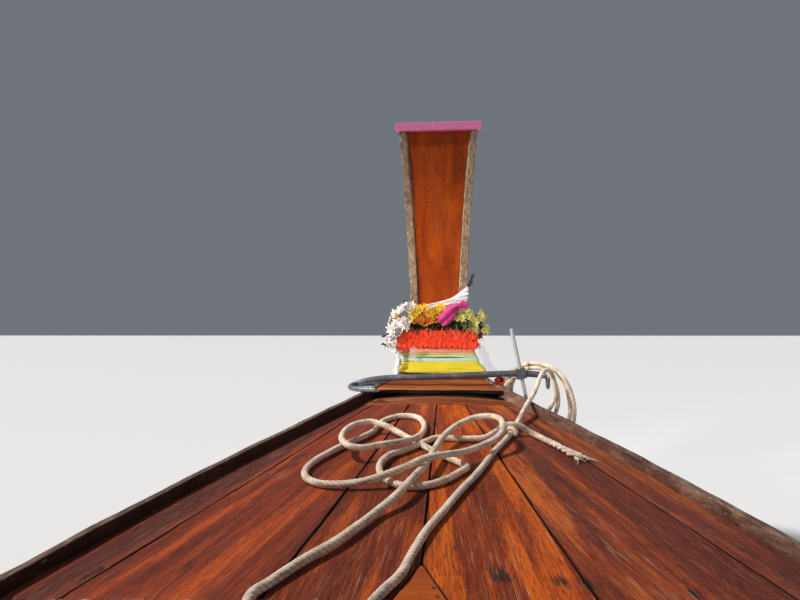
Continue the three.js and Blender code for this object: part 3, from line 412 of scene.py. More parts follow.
class Finish:
    """The nodes of one material. run is the way its grain runs: u for the piece's own UV map, or x, y or z."""

    STRETCH = {"u": lambda a, c: (a, c, 1), "x": lambda a, c: (a, c, c), "y": lambda a, c: (c, a, c),
               "z": lambda a, c: (c, c, a), "": lambda a, c: (a, a, a)}

    def __init__(self, name, run="", shift=0.0):
        self.material = bpy.data.materials.new(name)
        self.material.use_nodes = True
        self.tree = self.material.node_tree
        self.tree.nodes.clear()
        self.run, self.shift = run, shift
        self.shader = self.node("ShaderNodeBsdfPrincipled")
        output = self.node("ShaderNodeOutputMaterial")
        self.tree.links.new(self.shader.outputs[0], output.inputs[0])
        self.coordinates = self.node("ShaderNodeTexCoord").outputs["UV" if run == "u" else "Object"]

    def node(self, kind, inputs=None, **settings):
        made = self.tree.nodes.new(kind)
        for key, value in settings.items():
            setattr(made, key, value)
        for key, value in (inputs or {}).items():
            if isinstance(value, bpy.types.NodeSocket):
                self.tree.links.new(value, made.inputs[key])
            else:
                made.inputs[key].default_value = value
        return made

    def mapped(self, along, across, place=(0, 0, 0)):
        """The coordinates, stretched along the grain and across it and moved to a place."""
        return self.node("ShaderNodeMapping", {"Vector": self.coordinates, "Location": place,
                                               "Scale": self.STRETCH[self.run](along, across)}).outputs[0]

    def noise(self, along, across=None, *, detail, rough=0.55, warp=0.0, move=0.0):
        """Noise with so many waves in a metre along the grain and across it."""
        place = (self.shift + move, self.shift * 1.7 + move, move)
        return self.node("ShaderNodeTexNoise", {
            "Vector": self.mapped(along, along if across is None else across, place), "Scale": 1.0,
            "Detail": detail, "Roughness": rough, "Distortion": warp}).outputs["Fac"]

    def waves(self, along, across, warp, axis):
        """Parallel waves along one axis, so many in a metre."""
        return self.node("ShaderNodeTexWave", {"Vector": self.mapped(along, across), "Scale": 1.0,
                                               "Distortion": warp}, bands_direction=axis).outputs["Fac"]

    def span(self, value, low, high, to_low=0.0, to_high=1.0):
        """The value's stretch from low to high as a stretch from to_low to to_high, and flat past both ends."""
        return self.node("ShaderNodeMapRange", {"Value": value, "From Min": low, "From Max": high,
                                                "To Min": to_low, "To Max": to_high}).outputs[0]

    def calc(self, operation, a, b):
        return self.node("ShaderNodeMath", {0: a, 1: b}, operation=operation).outputs[0]

    def times(self, a, b):
        return self.calc("MULTIPLY", a, b)

    def plus(self, a, b):
        return self.calc("ADD", a, b)

    def ramp(self, value, *stops):
        """A run of colours over the value: each stop is a place on it and a colour."""
        made = self.node("ShaderNodeValToRGB", {"Fac": value})
        colours = made.color_ramp.elements
        for _ in stops[2:]:
            colours.new(0.5)
        for element, (place, colour) in zip(colours, stops):
            element.position, element.color = place, tone(colour)
        return made.outputs[0]

    def mix(self, factor, a, b):
        """Colours mixed; numbers written 0xRRGGBB stand for colours."""
        a, b = (tone(colour) if isinstance(colour, int) else colour for colour in (a, b))
        return self.node("ShaderNodeMix", {0: factor, 6: a, 7: b}, data_type="RGBA").outputs[2]

    def attribute(self, name):
        """A number that the piece's points carry; 0 where they don't."""
        return self.node("ShaderNodeAttribute", attribute_name=name).outputs["Fac"]

    def axis(self, k, source):
        """One axis of the UV map or of the normal."""
        vector = self.node("ShaderNodeTexCoord").outputs[source]
        return self.node("ShaderNodeSeparateXYZ", {0: vector}).outputs[k]

    def bump(self, height, distance, strength, under=None):
        """Relief from a value, over the relief under it."""
        inputs = {"Height": height, "Distance": distance, "Strength": strength}
        if under:
            inputs["Normal"] = under
        return self.node("ShaderNodeBump", inputs).outputs[0]

    def done(self, colour, roughness, normal=None, **sockets):
        """The material, with the shader's sockets set or linked."""
        values = {"Base Color": tone(colour) if isinstance(colour, int) else colour, "Roughness": roughness}
        if normal:
            values["Normal"] = normal
        values.update({key.replace("_", " "): value for key, value in sockets.items()})
        for key, value in values.items():
            if isinstance(value, bpy.types.NodeSocket):
                self.tree.links.new(value, self.shader.inputs[key])
            else:
                self.shader.inputs[key].default_value = value
        return self.material


def varnished(name, deep, middle, bright, run="u", shift=0.0, gloss=0.45, orange=0.5, scratched=0.5, marks=False,
              plain=0.0, shine=0.2):
    """Varnished teak: bands and streaks of tone along the grain, fine dark pores, pale scratches and, where marks
    is set, stains, dirty edges, bare spots and painted shade. plain is how much of the contrast is left out."""
    f = Finish(name, run, shift)
    bands = f.noise(0.7, 8.0, detail=3, rough=0.55, warp=0.8)
    streaks = f.noise(2.6, 40.0, detail=6, rough=0.75, warp=0.9, move=3.1)
    spread, weak = 1 + 1.2 * plain, 1 - 0.6 * plain
    colour = f.ramp(f.plus(f.times(bands, 0.66), f.times(streaks, 0.34)),
                    (0.5 - 0.09 * spread, deep), (0.5, middle), (0.5 + (0.12 - 0.07 * orange) * spread, bright))
    violet = f.span(f.noise(0.7, 7.0, detail=3, warp=0.8, move=15.0), 0.5, 0.66, 0.0, 0.5 - 0.4 * orange)
    colour = f.mix(violet, colour, 0x52292A)
    figure = f.noise(9.0, 240.0, detail=6, rough=0.75, warp=0.6, move=1.3)
    colour = f.mix(f.span(figure, 0.48, 0.64, 0.0, 0.8 * weak), colour, deep)
    colour = f.mix(f.span(figure, 0.34, 0.47, 0.4 * weak, 0.0), colour, bright)
    pores = f.noise(22.0, 480.0, detail=3, rough=0.65, move=5.0)
    colour = f.mix(f.span(pores, 0.53, 0.64, 0.0, 0.75 * (1 - 0.5 * plain)), colour, 0x260F08)
    flecks = f.span(f.noise(26.0, 560.0, detail=2, rough=0.6, move=17.0), 0.6, 0.7, 0.0, 0.5 * scratched)
    colour = f.mix(flecks, colour, 0xB98A62)
    hairs = f.noise(7.0, 380.0, detail=2, rough=0.5, warp=0.3, move=9.0)
    rubbed = f.span(f.noise(1.3, 6.0, detail=4, rough=0.6, warp=0.8, move=12.0), 0.46, 0.62)
    scratch = f.times(f.span(hairs, 0.6, 0.7), rubbed)
    colour = f.mix(f.times(scratch, scratched), colour, 0xC0987A)
    dull = f.span(f.noise(2.6, 12.0, detail=4, move=7.0), 0.35, 0.7, gloss, gloss + 0.26)
    rough = f.plus(dull, f.times(scratch, 0.25))
    if marks:
        # stains, dirty edges and bare patches where the varnish has gone, and painted shade, from the numbers
        # carried by the piece's points
        dashes = f.span(f.noise(11.0, 95.0, detail=3, rough=0.6, warp=0.4, move=11.0), 0.68, 0.73)
        colour = f.mix(f.times(dashes, 0.85), colour, 0x1E0F0B)
        ragged = f.noise(9.0, 120.0, detail=6, rough=0.74, warp=0.8, move=2.0)
        blots = f.noise(22.0, 70.0, detail=6, rough=0.72, warp=0.9, move=2.0)
        stain = f.span(f.plus(f.times(f.attribute("stain"), 0.5), f.times(blots, 0.8)), 0.75, 0.94)
        scurf = f.noise(16.0, 280.0, detail=3, move=4.0)
        scurf = f.ramp(scurf, (0.4, 0x120C0A), (0.56, 0x33241E), (0.7, 0x8A7868))
        colour = f.mix(f.times(stain, 0.9), colour, scurf)
        dirt = f.plus(f.attribute("rim"), f.times(ragged, 0.3))
        colour = f.mix(f.span(dirt, 1.0, 1.12, 0.0, 0.9), colour, 0x190B07)
        bare = f.span(f.plus(f.attribute("bare"), f.times(ragged, 0.8)), 0.86, 1.0)
        grey = f.ramp(f.noise(18.0, 240.0, detail=3), (0.38, 0x6F5B4C), (0.62, 0xC9B7A4))
        colour = f.mix(bare, colour, grey)
        rough = f.plus(rough, f.times(f.calc("MAXIMUM", stain, bare), 0.35))
        # painted shade: where the points carry 'shade', the wood turns near black as if it lay in shadow
        shade = f.plus(f.times(f.attribute("shade"), 1.3), f.times(figure, 0.6))
        colour = f.mix(f.span(shade, 0.75, 1.05), colour, 0x0A0504)
    normal = f.bump(figure, 0.0005, 0.6, f.bump(pores, 0.0004, 0.7, f.bump(scratch, -0.0003, 0.5)))
    return f.done(colour, rough, normal, Specular_IOR_Level=shine, Coat_Weight=0.15 * shine, Coat_Roughness=0.3)


def weathered(name, run, base, pale, dark, red, left):
    """Bare grey wood with raised grain, cracks, pale flecks and the share left of its red stain."""
    f = Finish(name, run)
    grain = f.noise(2.5, 130.0, detail=6, rough=0.7, warp=0.4)
    blotch = f.noise(5.0, 14.0, detail=5, rough=0.65, warp=1.0, move=2.0)
    colour = f.ramp(f.plus(f.times(grain, 0.55), f.times(blotch, 0.45)),
                    (0.38, dark), (0.5, base), (0.66, pale))
    stained = f.span(blotch, 0.56 - 0.2 * left, 0.66 - 0.2 * left, 0.0, 0.75)
    colour = f.mix(stained, colour, f.mix(grain, red, dark))
    flecks = f.span(f.noise(34.0, 170.0, detail=2, rough=0.6, move=6.0), 0.63, 0.68)
    colour = f.mix(f.times(flecks, 0.7), colour, 0xD4CDC4)
    cracks = f.span(f.noise(1.8, 190.0, detail=3, rough=0.55, move=8.0), 0.62, 0.7)
    colour = f.mix(cracks, colour, 0x1C1410)
    normal = f.bump(grain, 0.0012, 0.8, f.bump(cracks, -0.0012, 0.8))
    return f.done(colour, f.span(grain, 0.3, 0.7, 0.7, 0.95), normal)


def painted(name, colour, under, fade, run="", chips=0.5, rough=0.45, size=40.0):
    """Paint with chips down to what is under it, faded patches and brush marks."""
    f = Finish(name, run)
    brush = f.noise(6.0, 160.0 if run else None, detail=3, move=1.0)
    blotch = f.noise(4.0, detail=4, move=4.0)
    coat = f.mix(f.span(blotch, 0.4, 0.75, 0.0, 0.28), colour, fade)
    coat = f.mix(f.span(brush, 0.3, 0.7, 0.0, 0.16), coat, dimmed(colour, 0.45))
    chip = f.span(f.plus(f.noise(size, detail=6, rough=0.7, move=2.0), f.times(blotch, 0.35)),
                  0.84 - 0.1 * chips, 0.87 - 0.1 * chips)
    normal = f.bump(brush, 0.0004, 0.5, f.bump(chip, -0.0008, 0.9))
    return f.done(f.mix(chip, coat, under), f.plus(f.times(chip, 0.3), rough), normal)


def metal(name, colour, rust, rough, metallic=0.85, worn=0x9DA1A4, grime=0x1C1916):
    """Metal with worn bright patches, a film of grime and rust in spots."""
    f = Finish(name)
    cloud = f.noise(9.0, detail=5, rough=0.6)
    fine = f.noise(70.0, detail=4, rough=0.65, move=3.0)
    body = f.mix(f.span(cloud, 0.5, 0.72, 0.0, 0.6), colour, worn)
    body = f.mix(f.span(fine, 0.52, 0.7, 0.0, 0.6), body, grime)
    spots = f.span(f.plus(fine, f.times(cloud, 0.5)), 0.86 - 0.12 * rust, 0.94 - 0.12 * rust)
    body = f.mix(f.times(spots, min(1.0, rust * 2)), body, f.mix(fine, 0x7A3512, 0x3A1C10))
    dull = f.plus(f.span(fine, 0.3, 0.7, rough - 0.12, rough + 0.14), f.times(spots, 0.3))
    return f.done(body, dull, f.bump(fine, 0.0005, 0.6, f.bump(spots, 0.0005, 0.6)), Metallic=metallic)


def woven(name, colour, soil, threads, fade, crease, second=None, solid=1.0):
    """Plain woven cloth: crossing threads, soft creases and sun-faded patches, with painted shade in the creases
    and between the threads.
    """
    f = Finish(name, "u")
    weave = f.times(f.waves(threads, 0.0, 0.4, "X"), f.waves(0.0, threads, 0.4, "Y"))
    cloud = f.noise(7.0, 14.0, detail=4, warp=0.5)
    wrinkle = f.noise(9.0, 70.0, detail=4, rough=0.6, warp=0.8, move=3.0)
    base = f.mix(f.span(cloud, 0.35, 0.7, 0.0, fade), colour, soil)
    if second is not None:
        base = f.mix(f.span(f.noise(3.0, 60.0, detail=2, move=6.0), 0.5, 0.56), base, second)
    # painted shade: the creases darken towards a dim copy of the colour
    base = f.mix(f.span(wrinkle, 0.5, 0.75, 0.0, 0.35 * crease), base, dimmed(colour, 0.4))
    # painted shade: the gaps between the threads darken towards black
    base = f.mix(f.span(weave, 0.0, 0.6, 0.14, 0.0), base, 0x000000)
    normal = f.bump(wrinkle, 0.003 * crease, 0.8, f.bump(weave, 0.0003, 0.7))
    return f.done(base, f.span(wrinkle, 0.3, 0.7, 0.72, 0.9), normal, Sheen_Weight=0.35, Sheen_Roughness=0.5,
                  Alpha=solid)


def fibre(name):
    """Old braided rope: soiled fibres that follow the strands, with painted shade between them."""
    f = Finish(name, "u")
    threads = f.noise(500.0, 50.0, detail=2, rough=0.6)
    soil = f.noise(22.0, 3.0, detail=4, rough=0.65, warp=0.5, move=2.0)
    colour = f.ramp(f.plus(f.times(threads, 0.35), f.times(soil, 0.65)),
                    (0.32, 0x7A6050), (0.46, 0xD8C2AC), (0.6, 0xFFEAD4))
    # painted shade: the deeper a point lies between the strands, the darker it is
    colour = f.mix(f.span(f.attribute("hollow"), 0.45, 1.0, 0.0, 0.7), colour, 0x4A382C)
    return f.done(colour, 0.92, f.bump(threads, 0.0006, 0.8), Sheen_Weight=0.3, Sheen_Roughness=0.6)


def petalled(name, inner, outer, deep, sheen=0.25, pale=0xFFF1DC, painted_glow=0.0):
    """Frilled ribbon and cloth petals: a tone that runs from the middle to the rim, and one that changes by
    petal. painted_glow is the share of the colour that the petals give off as painted light, though they are no
    lamp."""
    f = Finish(name, "u")
    along = f.axis(0, "UV")
    tint = f.attribute("tint")
    colour = f.mix(f.span(along, 0.15, 0.95), inner, outer)
    colour = f.mix(f.span(tint, 0.0, 0.35, 0.8, 0.0), colour, deep)
    colour = f.mix(f.span(tint, 0.75, 1.0, 0.0, 0.35), colour, pale)
    veins = f.noise(2.0, 26.0, detail=2)
    colour = f.mix(f.span(veins, 0.5, 0.7, 0.0, 0.25), colour, deep)
    # the emission is painted light: the petals give off a share of their own colour
    return f.done(colour, 0.75, f.bump(veins, 0.0006, 0.6), Sheen_Weight=sheen, Sheen_Roughness=0.5,
                  Subsurface_Weight=0.12, Subsurface_Scale=0.01, Emission_Color=colour, Emission_Strength=painted_glow)


def length_property(name, description, default, low, high):
    """A length property of a panel."""
    return FloatProperty(name=name, description=description, default=default, min=low, max=high,
                         subtype="DISTANCE", unit="LENGTH")


def colour_property(name, description, default):
    """A colour property of a panel, its default written 0xRRGGBB."""
    return FloatVectorProperty(name=name, description=description, size=4, default=tone(default), min=0, max=1,
                               subtype="COLOR")


class DeckSizes(bpy.types.PropertyGroup):
    """Sizes of the foredeck's planks and of the wear on them."""
    cupping: length_property("Cupping", "How far each plank's middle lies below its edges", 0.0008, 0, 0.004)
    edge: length_property("Edge rounding", "Width of the planks' worn edges", 0.0035, 0.0005, 0.01)
    rail_wear: length_property("Gunwale wear", "How far the gunwales' faces wander", 0.0022, 0, 0.006)


class DressingSizes(bpy.types.PropertyGroup):
    """Sizes and colours of the cloths and flowers on the prow."""
    yellow: colour_property("Yellow sash", "Colour of the lowest sash", 0xFFEE30)
    garland: colour_property("Garland", "Colour of the garland's frills", 0xFF6A38)
    frills: IntProperty(name="Frills", description="Number of frilled ribbons in the garland",
                        default=5200, min=200, max=9000)
    frill_length: length_property("Frill length", "How far a frill stands out", 0.030, 0.01, 0.06)


class RopeSizes(bpy.types.PropertyGroup):
    """Sizes of the mooring and anchor ropes."""
    diameter: length_property("Diameter", "Diameter of the bow line; the anchor line has 0.94 of it", ROPE,
                              0.01, 0.04)
    pick: length_property("Pick", "Length of one round of the strands along the rope", 0.032, 0.01, 0.1)


class CanopySizes(bpy.types.PropertyGroup):
    """Sizes of the canopy's cloth."""
    sag: length_property("Sag", "How far the cloth hangs down between two hoops", 0.012, 0, 0.03)
    cloth: length_property("Cloth thickness", "Thickness of the canvas", 0.0022, 0.001, 0.006)


class StageSizes(bpy.types.PropertyGroup):
    """The camera's lens and the strength of the lights."""
    lens: FloatProperty(name="Lens", description="Focal length for a 36 mm wide frame, in millimetres",
                        default=27.0, min=10, max=200)
    key: FloatProperty(name="Key light", description="Strength of the sun light on the port side",
                       default=3.2, min=0)
    bow: FloatProperty(name="Bow light", description="Power of the light near the bow, above the port gunwale",
                       default=700.0, min=0, subtype="POWER", unit="POWER")
    fill: FloatProperty(name="Fill light", description="Power of the wide light behind the boat",
                        default=330.0, min=0, subtype="POWER", unit="POWER")
    sky: FloatProperty(name="Sky light", description="Brightness of the pale surroundings", default=0.2, min=0)


# Worn spots on the deck: x, y, half length along the planks, half width, strength
STAINS = np.array([
    (0.053, 2.685, 0.03, 0.022, 1.0), (0.138, 2.675, 0.045, 0.027, 1.3), (0.249, 2.665, 0.045, 0.024, 1.2),
    (0.302, 2.66, 0.04, 0.021, 1.2), (0.497, 2.645, 0.045, 0.021, 1.25), (0.375, 2.71, 0.04, 0.012, 0.8),
    (0.225, 3.09, 0.05, 0.02, 0.9), (0.385, 3.14, 0.06, 0.026, 1.0), (0.51, 3.08, 0.05, 0.024, 0.9),
    (-0.30, 3.08, 0.04, 0.02, 0.9), (-0.20, 2.86, 0.035, 0.018, 0.8), (-0.69, 2.66, 0.07, 0.035, 1.0),
    (-0.50, 2.70, 0.07, 0.035, 0.95), (0.03, 3.93, 0.018, 0.012, 1.1), (-0.02, 3.99, 0.02, 0.012, 0.7),
    (-0.16, 3.76, 0.05, 0.03, 0.6), (0.20, 3.55, 0.05, 0.02, 0.6), (-0.42, 3.42, 0.07, 0.03, 0.9),
    (0.02, 3.42, 0.03, 0.02, 0.8), (0.008, 2.62, 0.014, 0.008, 1.3), (0.012, 2.585, 0.014, 0.008, 1.3),
    (0.12, 2.72, 0.03, 0.018, 0.8), (0.575, 2.84, 0.05, 0.014, 0.8), (0.55, 3.3, 0.06, 0.02, 0.8),
    (-0.60, 3.0, 0.06, 0.03, 0.8), (-0.36, 2.75, 0.05, 0.025, 0.8), (0.3, 3.3, 0.05, 0.02, 0.8)])


# The planks of each side from the middle outwards: label, share of the grain's fan, then for starboard and for
# port the deep, middle and bright tones and how orange the bright parts are
DECK_PLANKS = (
    ("inner", 0.4, {1: (0x5C2114, 0x923A14, 0xD06012, 0.9), -1: (0x52221A, 0x7C3018, 0xB8541A, 0.4)}),
    ("middle", 0.9, {1: (0x5A261E, 0x88381E, 0xC86420, 0.5), -1: (0x5E251C, 0x8C381E, 0xC0541E, 0.5)}),
    ("outer", 0.8, {1: (0x562A24, 0x803A28, 0xB05C2E, 0.1), -1: (0x542722, 0x7E3828, 0xAA5430, 0.2)}))


def wedge_half(y):
    """Half the width of the wedge between the two inner planks, which ends in a tip."""
    return WEDGE_HALF * np.maximum(0, (WEDGE_TIP - y) / (WEDGE_TIP - DECK_AFT))


def there_and_back(values):
    """Values over a slab's top, then the other way round over its underside, and back to the start."""
    return np.concatenate([values, values[:, ::-1], values[:, :1]], axis=1)


def cross_edge(x):
    """The aft edge of the cross board at the deck's narrow end: it bends forward with the square of x."""
    return CROSS_AFT - 0.017 + 0.36 * x**2


def worn_spots(points):
    """How stained a point of the deck is: the sum of bell curves round the worn spots."""
    x, y, length, width, strength = STAINS.T
    across, along = points[:, :1] - x, points[:, 1:2] - y
    return (strength * np.exp(-(across / width) ** 2 - (along / length) ** 2)).sum(axis=1)


def deck_plank(name, start, stop, finish, sizes, side, shift, fan):
    """One deck plank between two seam lines, start(y) and stop(y), with a slightly hollow top face. Its grain
    follows the outer seam by the share fan, and the boat's axis by the rest."""
    t = np.linspace(0, 1, 140)[:, None]
    y = DECK_AFT + (CROSS_AFT - DECK_AFT) * t[:, 0]
    across = np.linspace(0, 1, 15)
    x0, x1 = start(y), stop(y)
    wander = 0.0009 * ripples(np.stack([0 * y, y, 0 * y + shift], axis=1), 0.16, 5)
    x = (x0 + wander)[:, None] + np.outer(x1 - x0 - 2 * wander, across)
    grown = y[:, None] + (cross_edge(x) - SEAM_HALF - CROSS_AFT) * t**6
    top = np.stack([x, grown, deck_z(x, grown)], axis=-1)
    top[..., 2] -= sizes.cupping * 4 * across * (1 - across)
    top[..., 2] += 0.0007 * ripples(top * (6, 1, 1), 0.3, 8 + int(shift))
    # the aft ends are chewed, with end grain that stands up in ragged ridges
    chewed = np.clip((DECK_AFT + CHEWED - grown) / CHEWED, 0, 1)
    top[..., 2] -= 0.006 * chewed * (0.6 + ripples(top * (9, 1, 1), 0.08, 21))
    under = top[:, ::-1].copy()
    under[..., 2] = deck_z(under[..., 0], under[..., 1]) - DECK_PLANK
    rows = np.concatenate([top, under], axis=1)
    reach = (there_and_back(x) - fan * (x1 - x1[0])[:, None]) * side
    uv = np.stack([np.broadcast_to(y[:, None], reach.shape) + shift * 3, reach + shift], axis=-1)
    rows[..., 0] *= side
    points = rows.reshape(-1, 3)
    bare = np.clip((DECK_AFT + BARE_END - points[:, 1]) / BARE_END, 0, 1)
    rim = np.tile(np.concatenate([across, across[::-1]]) % 1 == 0, len(y)).astype(float)
    piece = make(name + "_worn", loft(rows, uv), finish, bevel=sizes.edge, smooth=40,
                 values={"stain": worn_spots(points), "bare": bare * 0.75, "rim": rim})
    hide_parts(name)


class BOAT_OT_foredeck(bpy.types.Operator):
    """Builds the varnished foredeck: six planks that fan out from the bow, a wedge and two cross boards"""
    bl_idname = "boat.foredeck"
    bl_label = "Foredeck"

    def execute(self, context):
        sizes = context.scene.boat_deck
        for side, word in BOTH_SIDES:
            starts = (lambda y: wedge_half(y) + WEDGE_GAP + side * read(SEAM_CENTRE, y),
                      lambda y: read(SEAM_INNER, y) + SEAM_HALF,
                      lambda y: read(SEAM_OUTER, y) + SEAM_HALF)
            stops = (lambda y: read(SEAM_INNER, y) - SEAM_HALF,
                     lambda y: read(SEAM_OUTER, y) - SEAM_HALF,
                     deck_half)
            for k, (label, fan, tones) in enumerate(DECK_PLANKS):
                deep, middle, bright, orange = tones[side]
                shift = 2.3 * k + (7.7 if side > 0 else 1.1)
                finish = varnished(f"Varnished teak, {label} {word}", deep, middle, bright, shift=shift,
                                   orange=orange, scratched=0.8 if side > 0 else 0.6, marks=True)
                deck_plank(f"deck_{label}_{word}", starts[k], stops[k], finish, sizes, side, shift, fan)
        self.wedge(sizes)
        self.board(sizes)
        self.cross_board(sizes)
        self.battens()
        return {"FINISHED"}

    @staticmethod
    def wedge(sizes):
        """The bright wedge let in between the two inner planks at their aft ends."""
        finish = varnished("Varnished teak, wedge", 0x8A3A10, 0xB0541A, 0xC8661E, shift=4.4, orange=0.6,
                           scratched=0.2, marks=True, plain=0.8)
        y = np.linspace(DECK_AFT, WEDGE_TIP - 0.014, 40)
        half = np.maximum(wedge_half(y) - 0.002, 0.002)
        x = read(SEAM_CENTRE, y)[:, None] + np.outer(half, np.linspace(-1, 1, 9))
        grown = np.broadcast_to(y[:, None], x.shape)
        top = np.stack([x, grown, deck_z(x, grown) + 0.0006], axis=-1)
        rows = np.concatenate([top, top[:, ::-1] - (0, 0, DECK_PLANK)], axis=1)
        reach = there_and_back(x)
        uv = np.stack([reach + 3.3, np.broadcast_to(y[:, None], reach.shape) + 1.2], axis=-1)
        piece = make("deck_wedge_worn", loft(rows, uv), finish, bevel=sizes.edge * 0.7, smooth=40,
                     values={"stain": worn_spots(rows.reshape(-1, 3))})
        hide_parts("deck_wedge")

    @staticmethod
    def board(sizes):
        """The bow board, raised over the deck's narrow end, which narrows towards the prow."""
        finish = varnished("Varnished teak, bow board", 0x70341A, 0xA85426, 0xD8803E, shift=9.1, orange=0.3,
                           scratched=1.0, marks=True)
        s = np.linspace(-1, 1, 61)[:, None]
        aft_y, fore_y, rise, thick = DECK_FORE - 0.02, 4.372, 0.036, 0.014
        half_aft, half_fore = deck_half(aft_y) - 0.002, deck_half(fore_y) - 0.002
        depth = np.linspace(0, 1, 40) ** 1.5
        y_aft = aft_y + 0.014 * np.sin(np.pi * s) ** 2
        x = half_aft * s * (1 - depth) + half_fore * s * depth
        y = y_aft * (1 - depth) + fore_y * depth
        z_aft, z_fore = deck_edge(aft_y) + rise, deck_edge(fore_y) + rise + 0.004
        top = np.stack([x, y, np.broadcast_to(z_aft + (z_fore - z_aft) * depth, x.shape)], axis=-1)
        top[..., 2] += 0.0008 * ripples(top * (1, 4, 1), 0.1, 31)
        rows = np.concatenate([top, top[:, ::-1] - (0, 0, thick)], axis=1)
        # painted shade: the aft edge turns near black, standing for the shadow under the board's overhang
        shade = np.clip(1 - (rows[..., 1] - y_aft) / 0.007, 0, 1) ** 0.5
        uv = np.stack([there_and_back(x), there_and_back(y)], axis=-1)
        piece = make("bow_board_worn", loft(rows, uv), finish, bevel=sizes.edge, smooth=40,
                     values={"shade": shade})
        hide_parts("bow_board")

    @staticmethod
    def battens():
        """Dark battens under the seams between the planks, which close them from below."""
        parts = []
        thick = 0.008
        y = np.linspace(DECK_AFT + 0.02, DECK_FORE - 0.01, 60)
        lines = [(read(SEAM_CENTRE, y), 0.03)]
        lines += [(side * read(seam, y), 0.012) for side in (1, -1) for seam in (SEAM_INNER, SEAM_OUTER)]
        for x, half in lines:
            top = deck_z(x, y) - DECK_PLANK - 0.001
            parts.append(loft(np.stack([np.stack([x + half * a, y, top - b], axis=1)
                                        for a, b in ((-1, 0), (1, 0), (1, thick), (-1, thick))], axis=1)))
        tarred = varnished("Tarred battens", 0x0C0706, 0x140B08, 0x1E120C)
        make("deck_seam_battens", join(parts), tarred)

    @staticmethod
    def cross_board(sizes):
        """The worn board across the planks' fore ends, with its grain from side to side."""
        finish = varnished("Varnished teak, cross board", 0x5A2814, 0x964A1E, 0xC88A4A, shift=5.3, orange=0.6,
                           scratched=1.0, marks=True)
        depth = np.linspace(0, 1, 24)
        aft = cross_edge(np.linspace(-1, 1, 90) * (deck_half(CROSS_AFT) - 0.001))
        y = aft[:, None] + (DECK_FORE - aft)[:, None] * depth
        x = np.linspace(-1, 1, 90)[:, None] * (deck_half(y) - 0.001)
        top = np.stack([x, y, deck_z(x, y) + 0.0008], axis=-1)
        top[..., 2] += 0.0006 * ripples(top * (1, 6, 1), 0.2, 33)
        rows = np.concatenate([top, top[:, ::-1] - (0, 0, DECK_PLANK)], axis=1)
        uv = np.stack([there_and_back(x) + 2.2, there_and_back(y) + 2.2], axis=-1)
        points = rows.reshape(-1, 3)
        # painted shade: a strip along the fore end turns near black, as if shaded by the bow board
        make("deck_cross_board", loft(rows, uv), finish, bevel=sizes.edge * 0.6, smooth=40,
             values={"stain": worn_spots(points), "bare": np.full(len(points), 0.12),
                     "shade": np.clip((points[:, 1] - DECK_FORE + 0.052) / 0.014, 0, 1)})


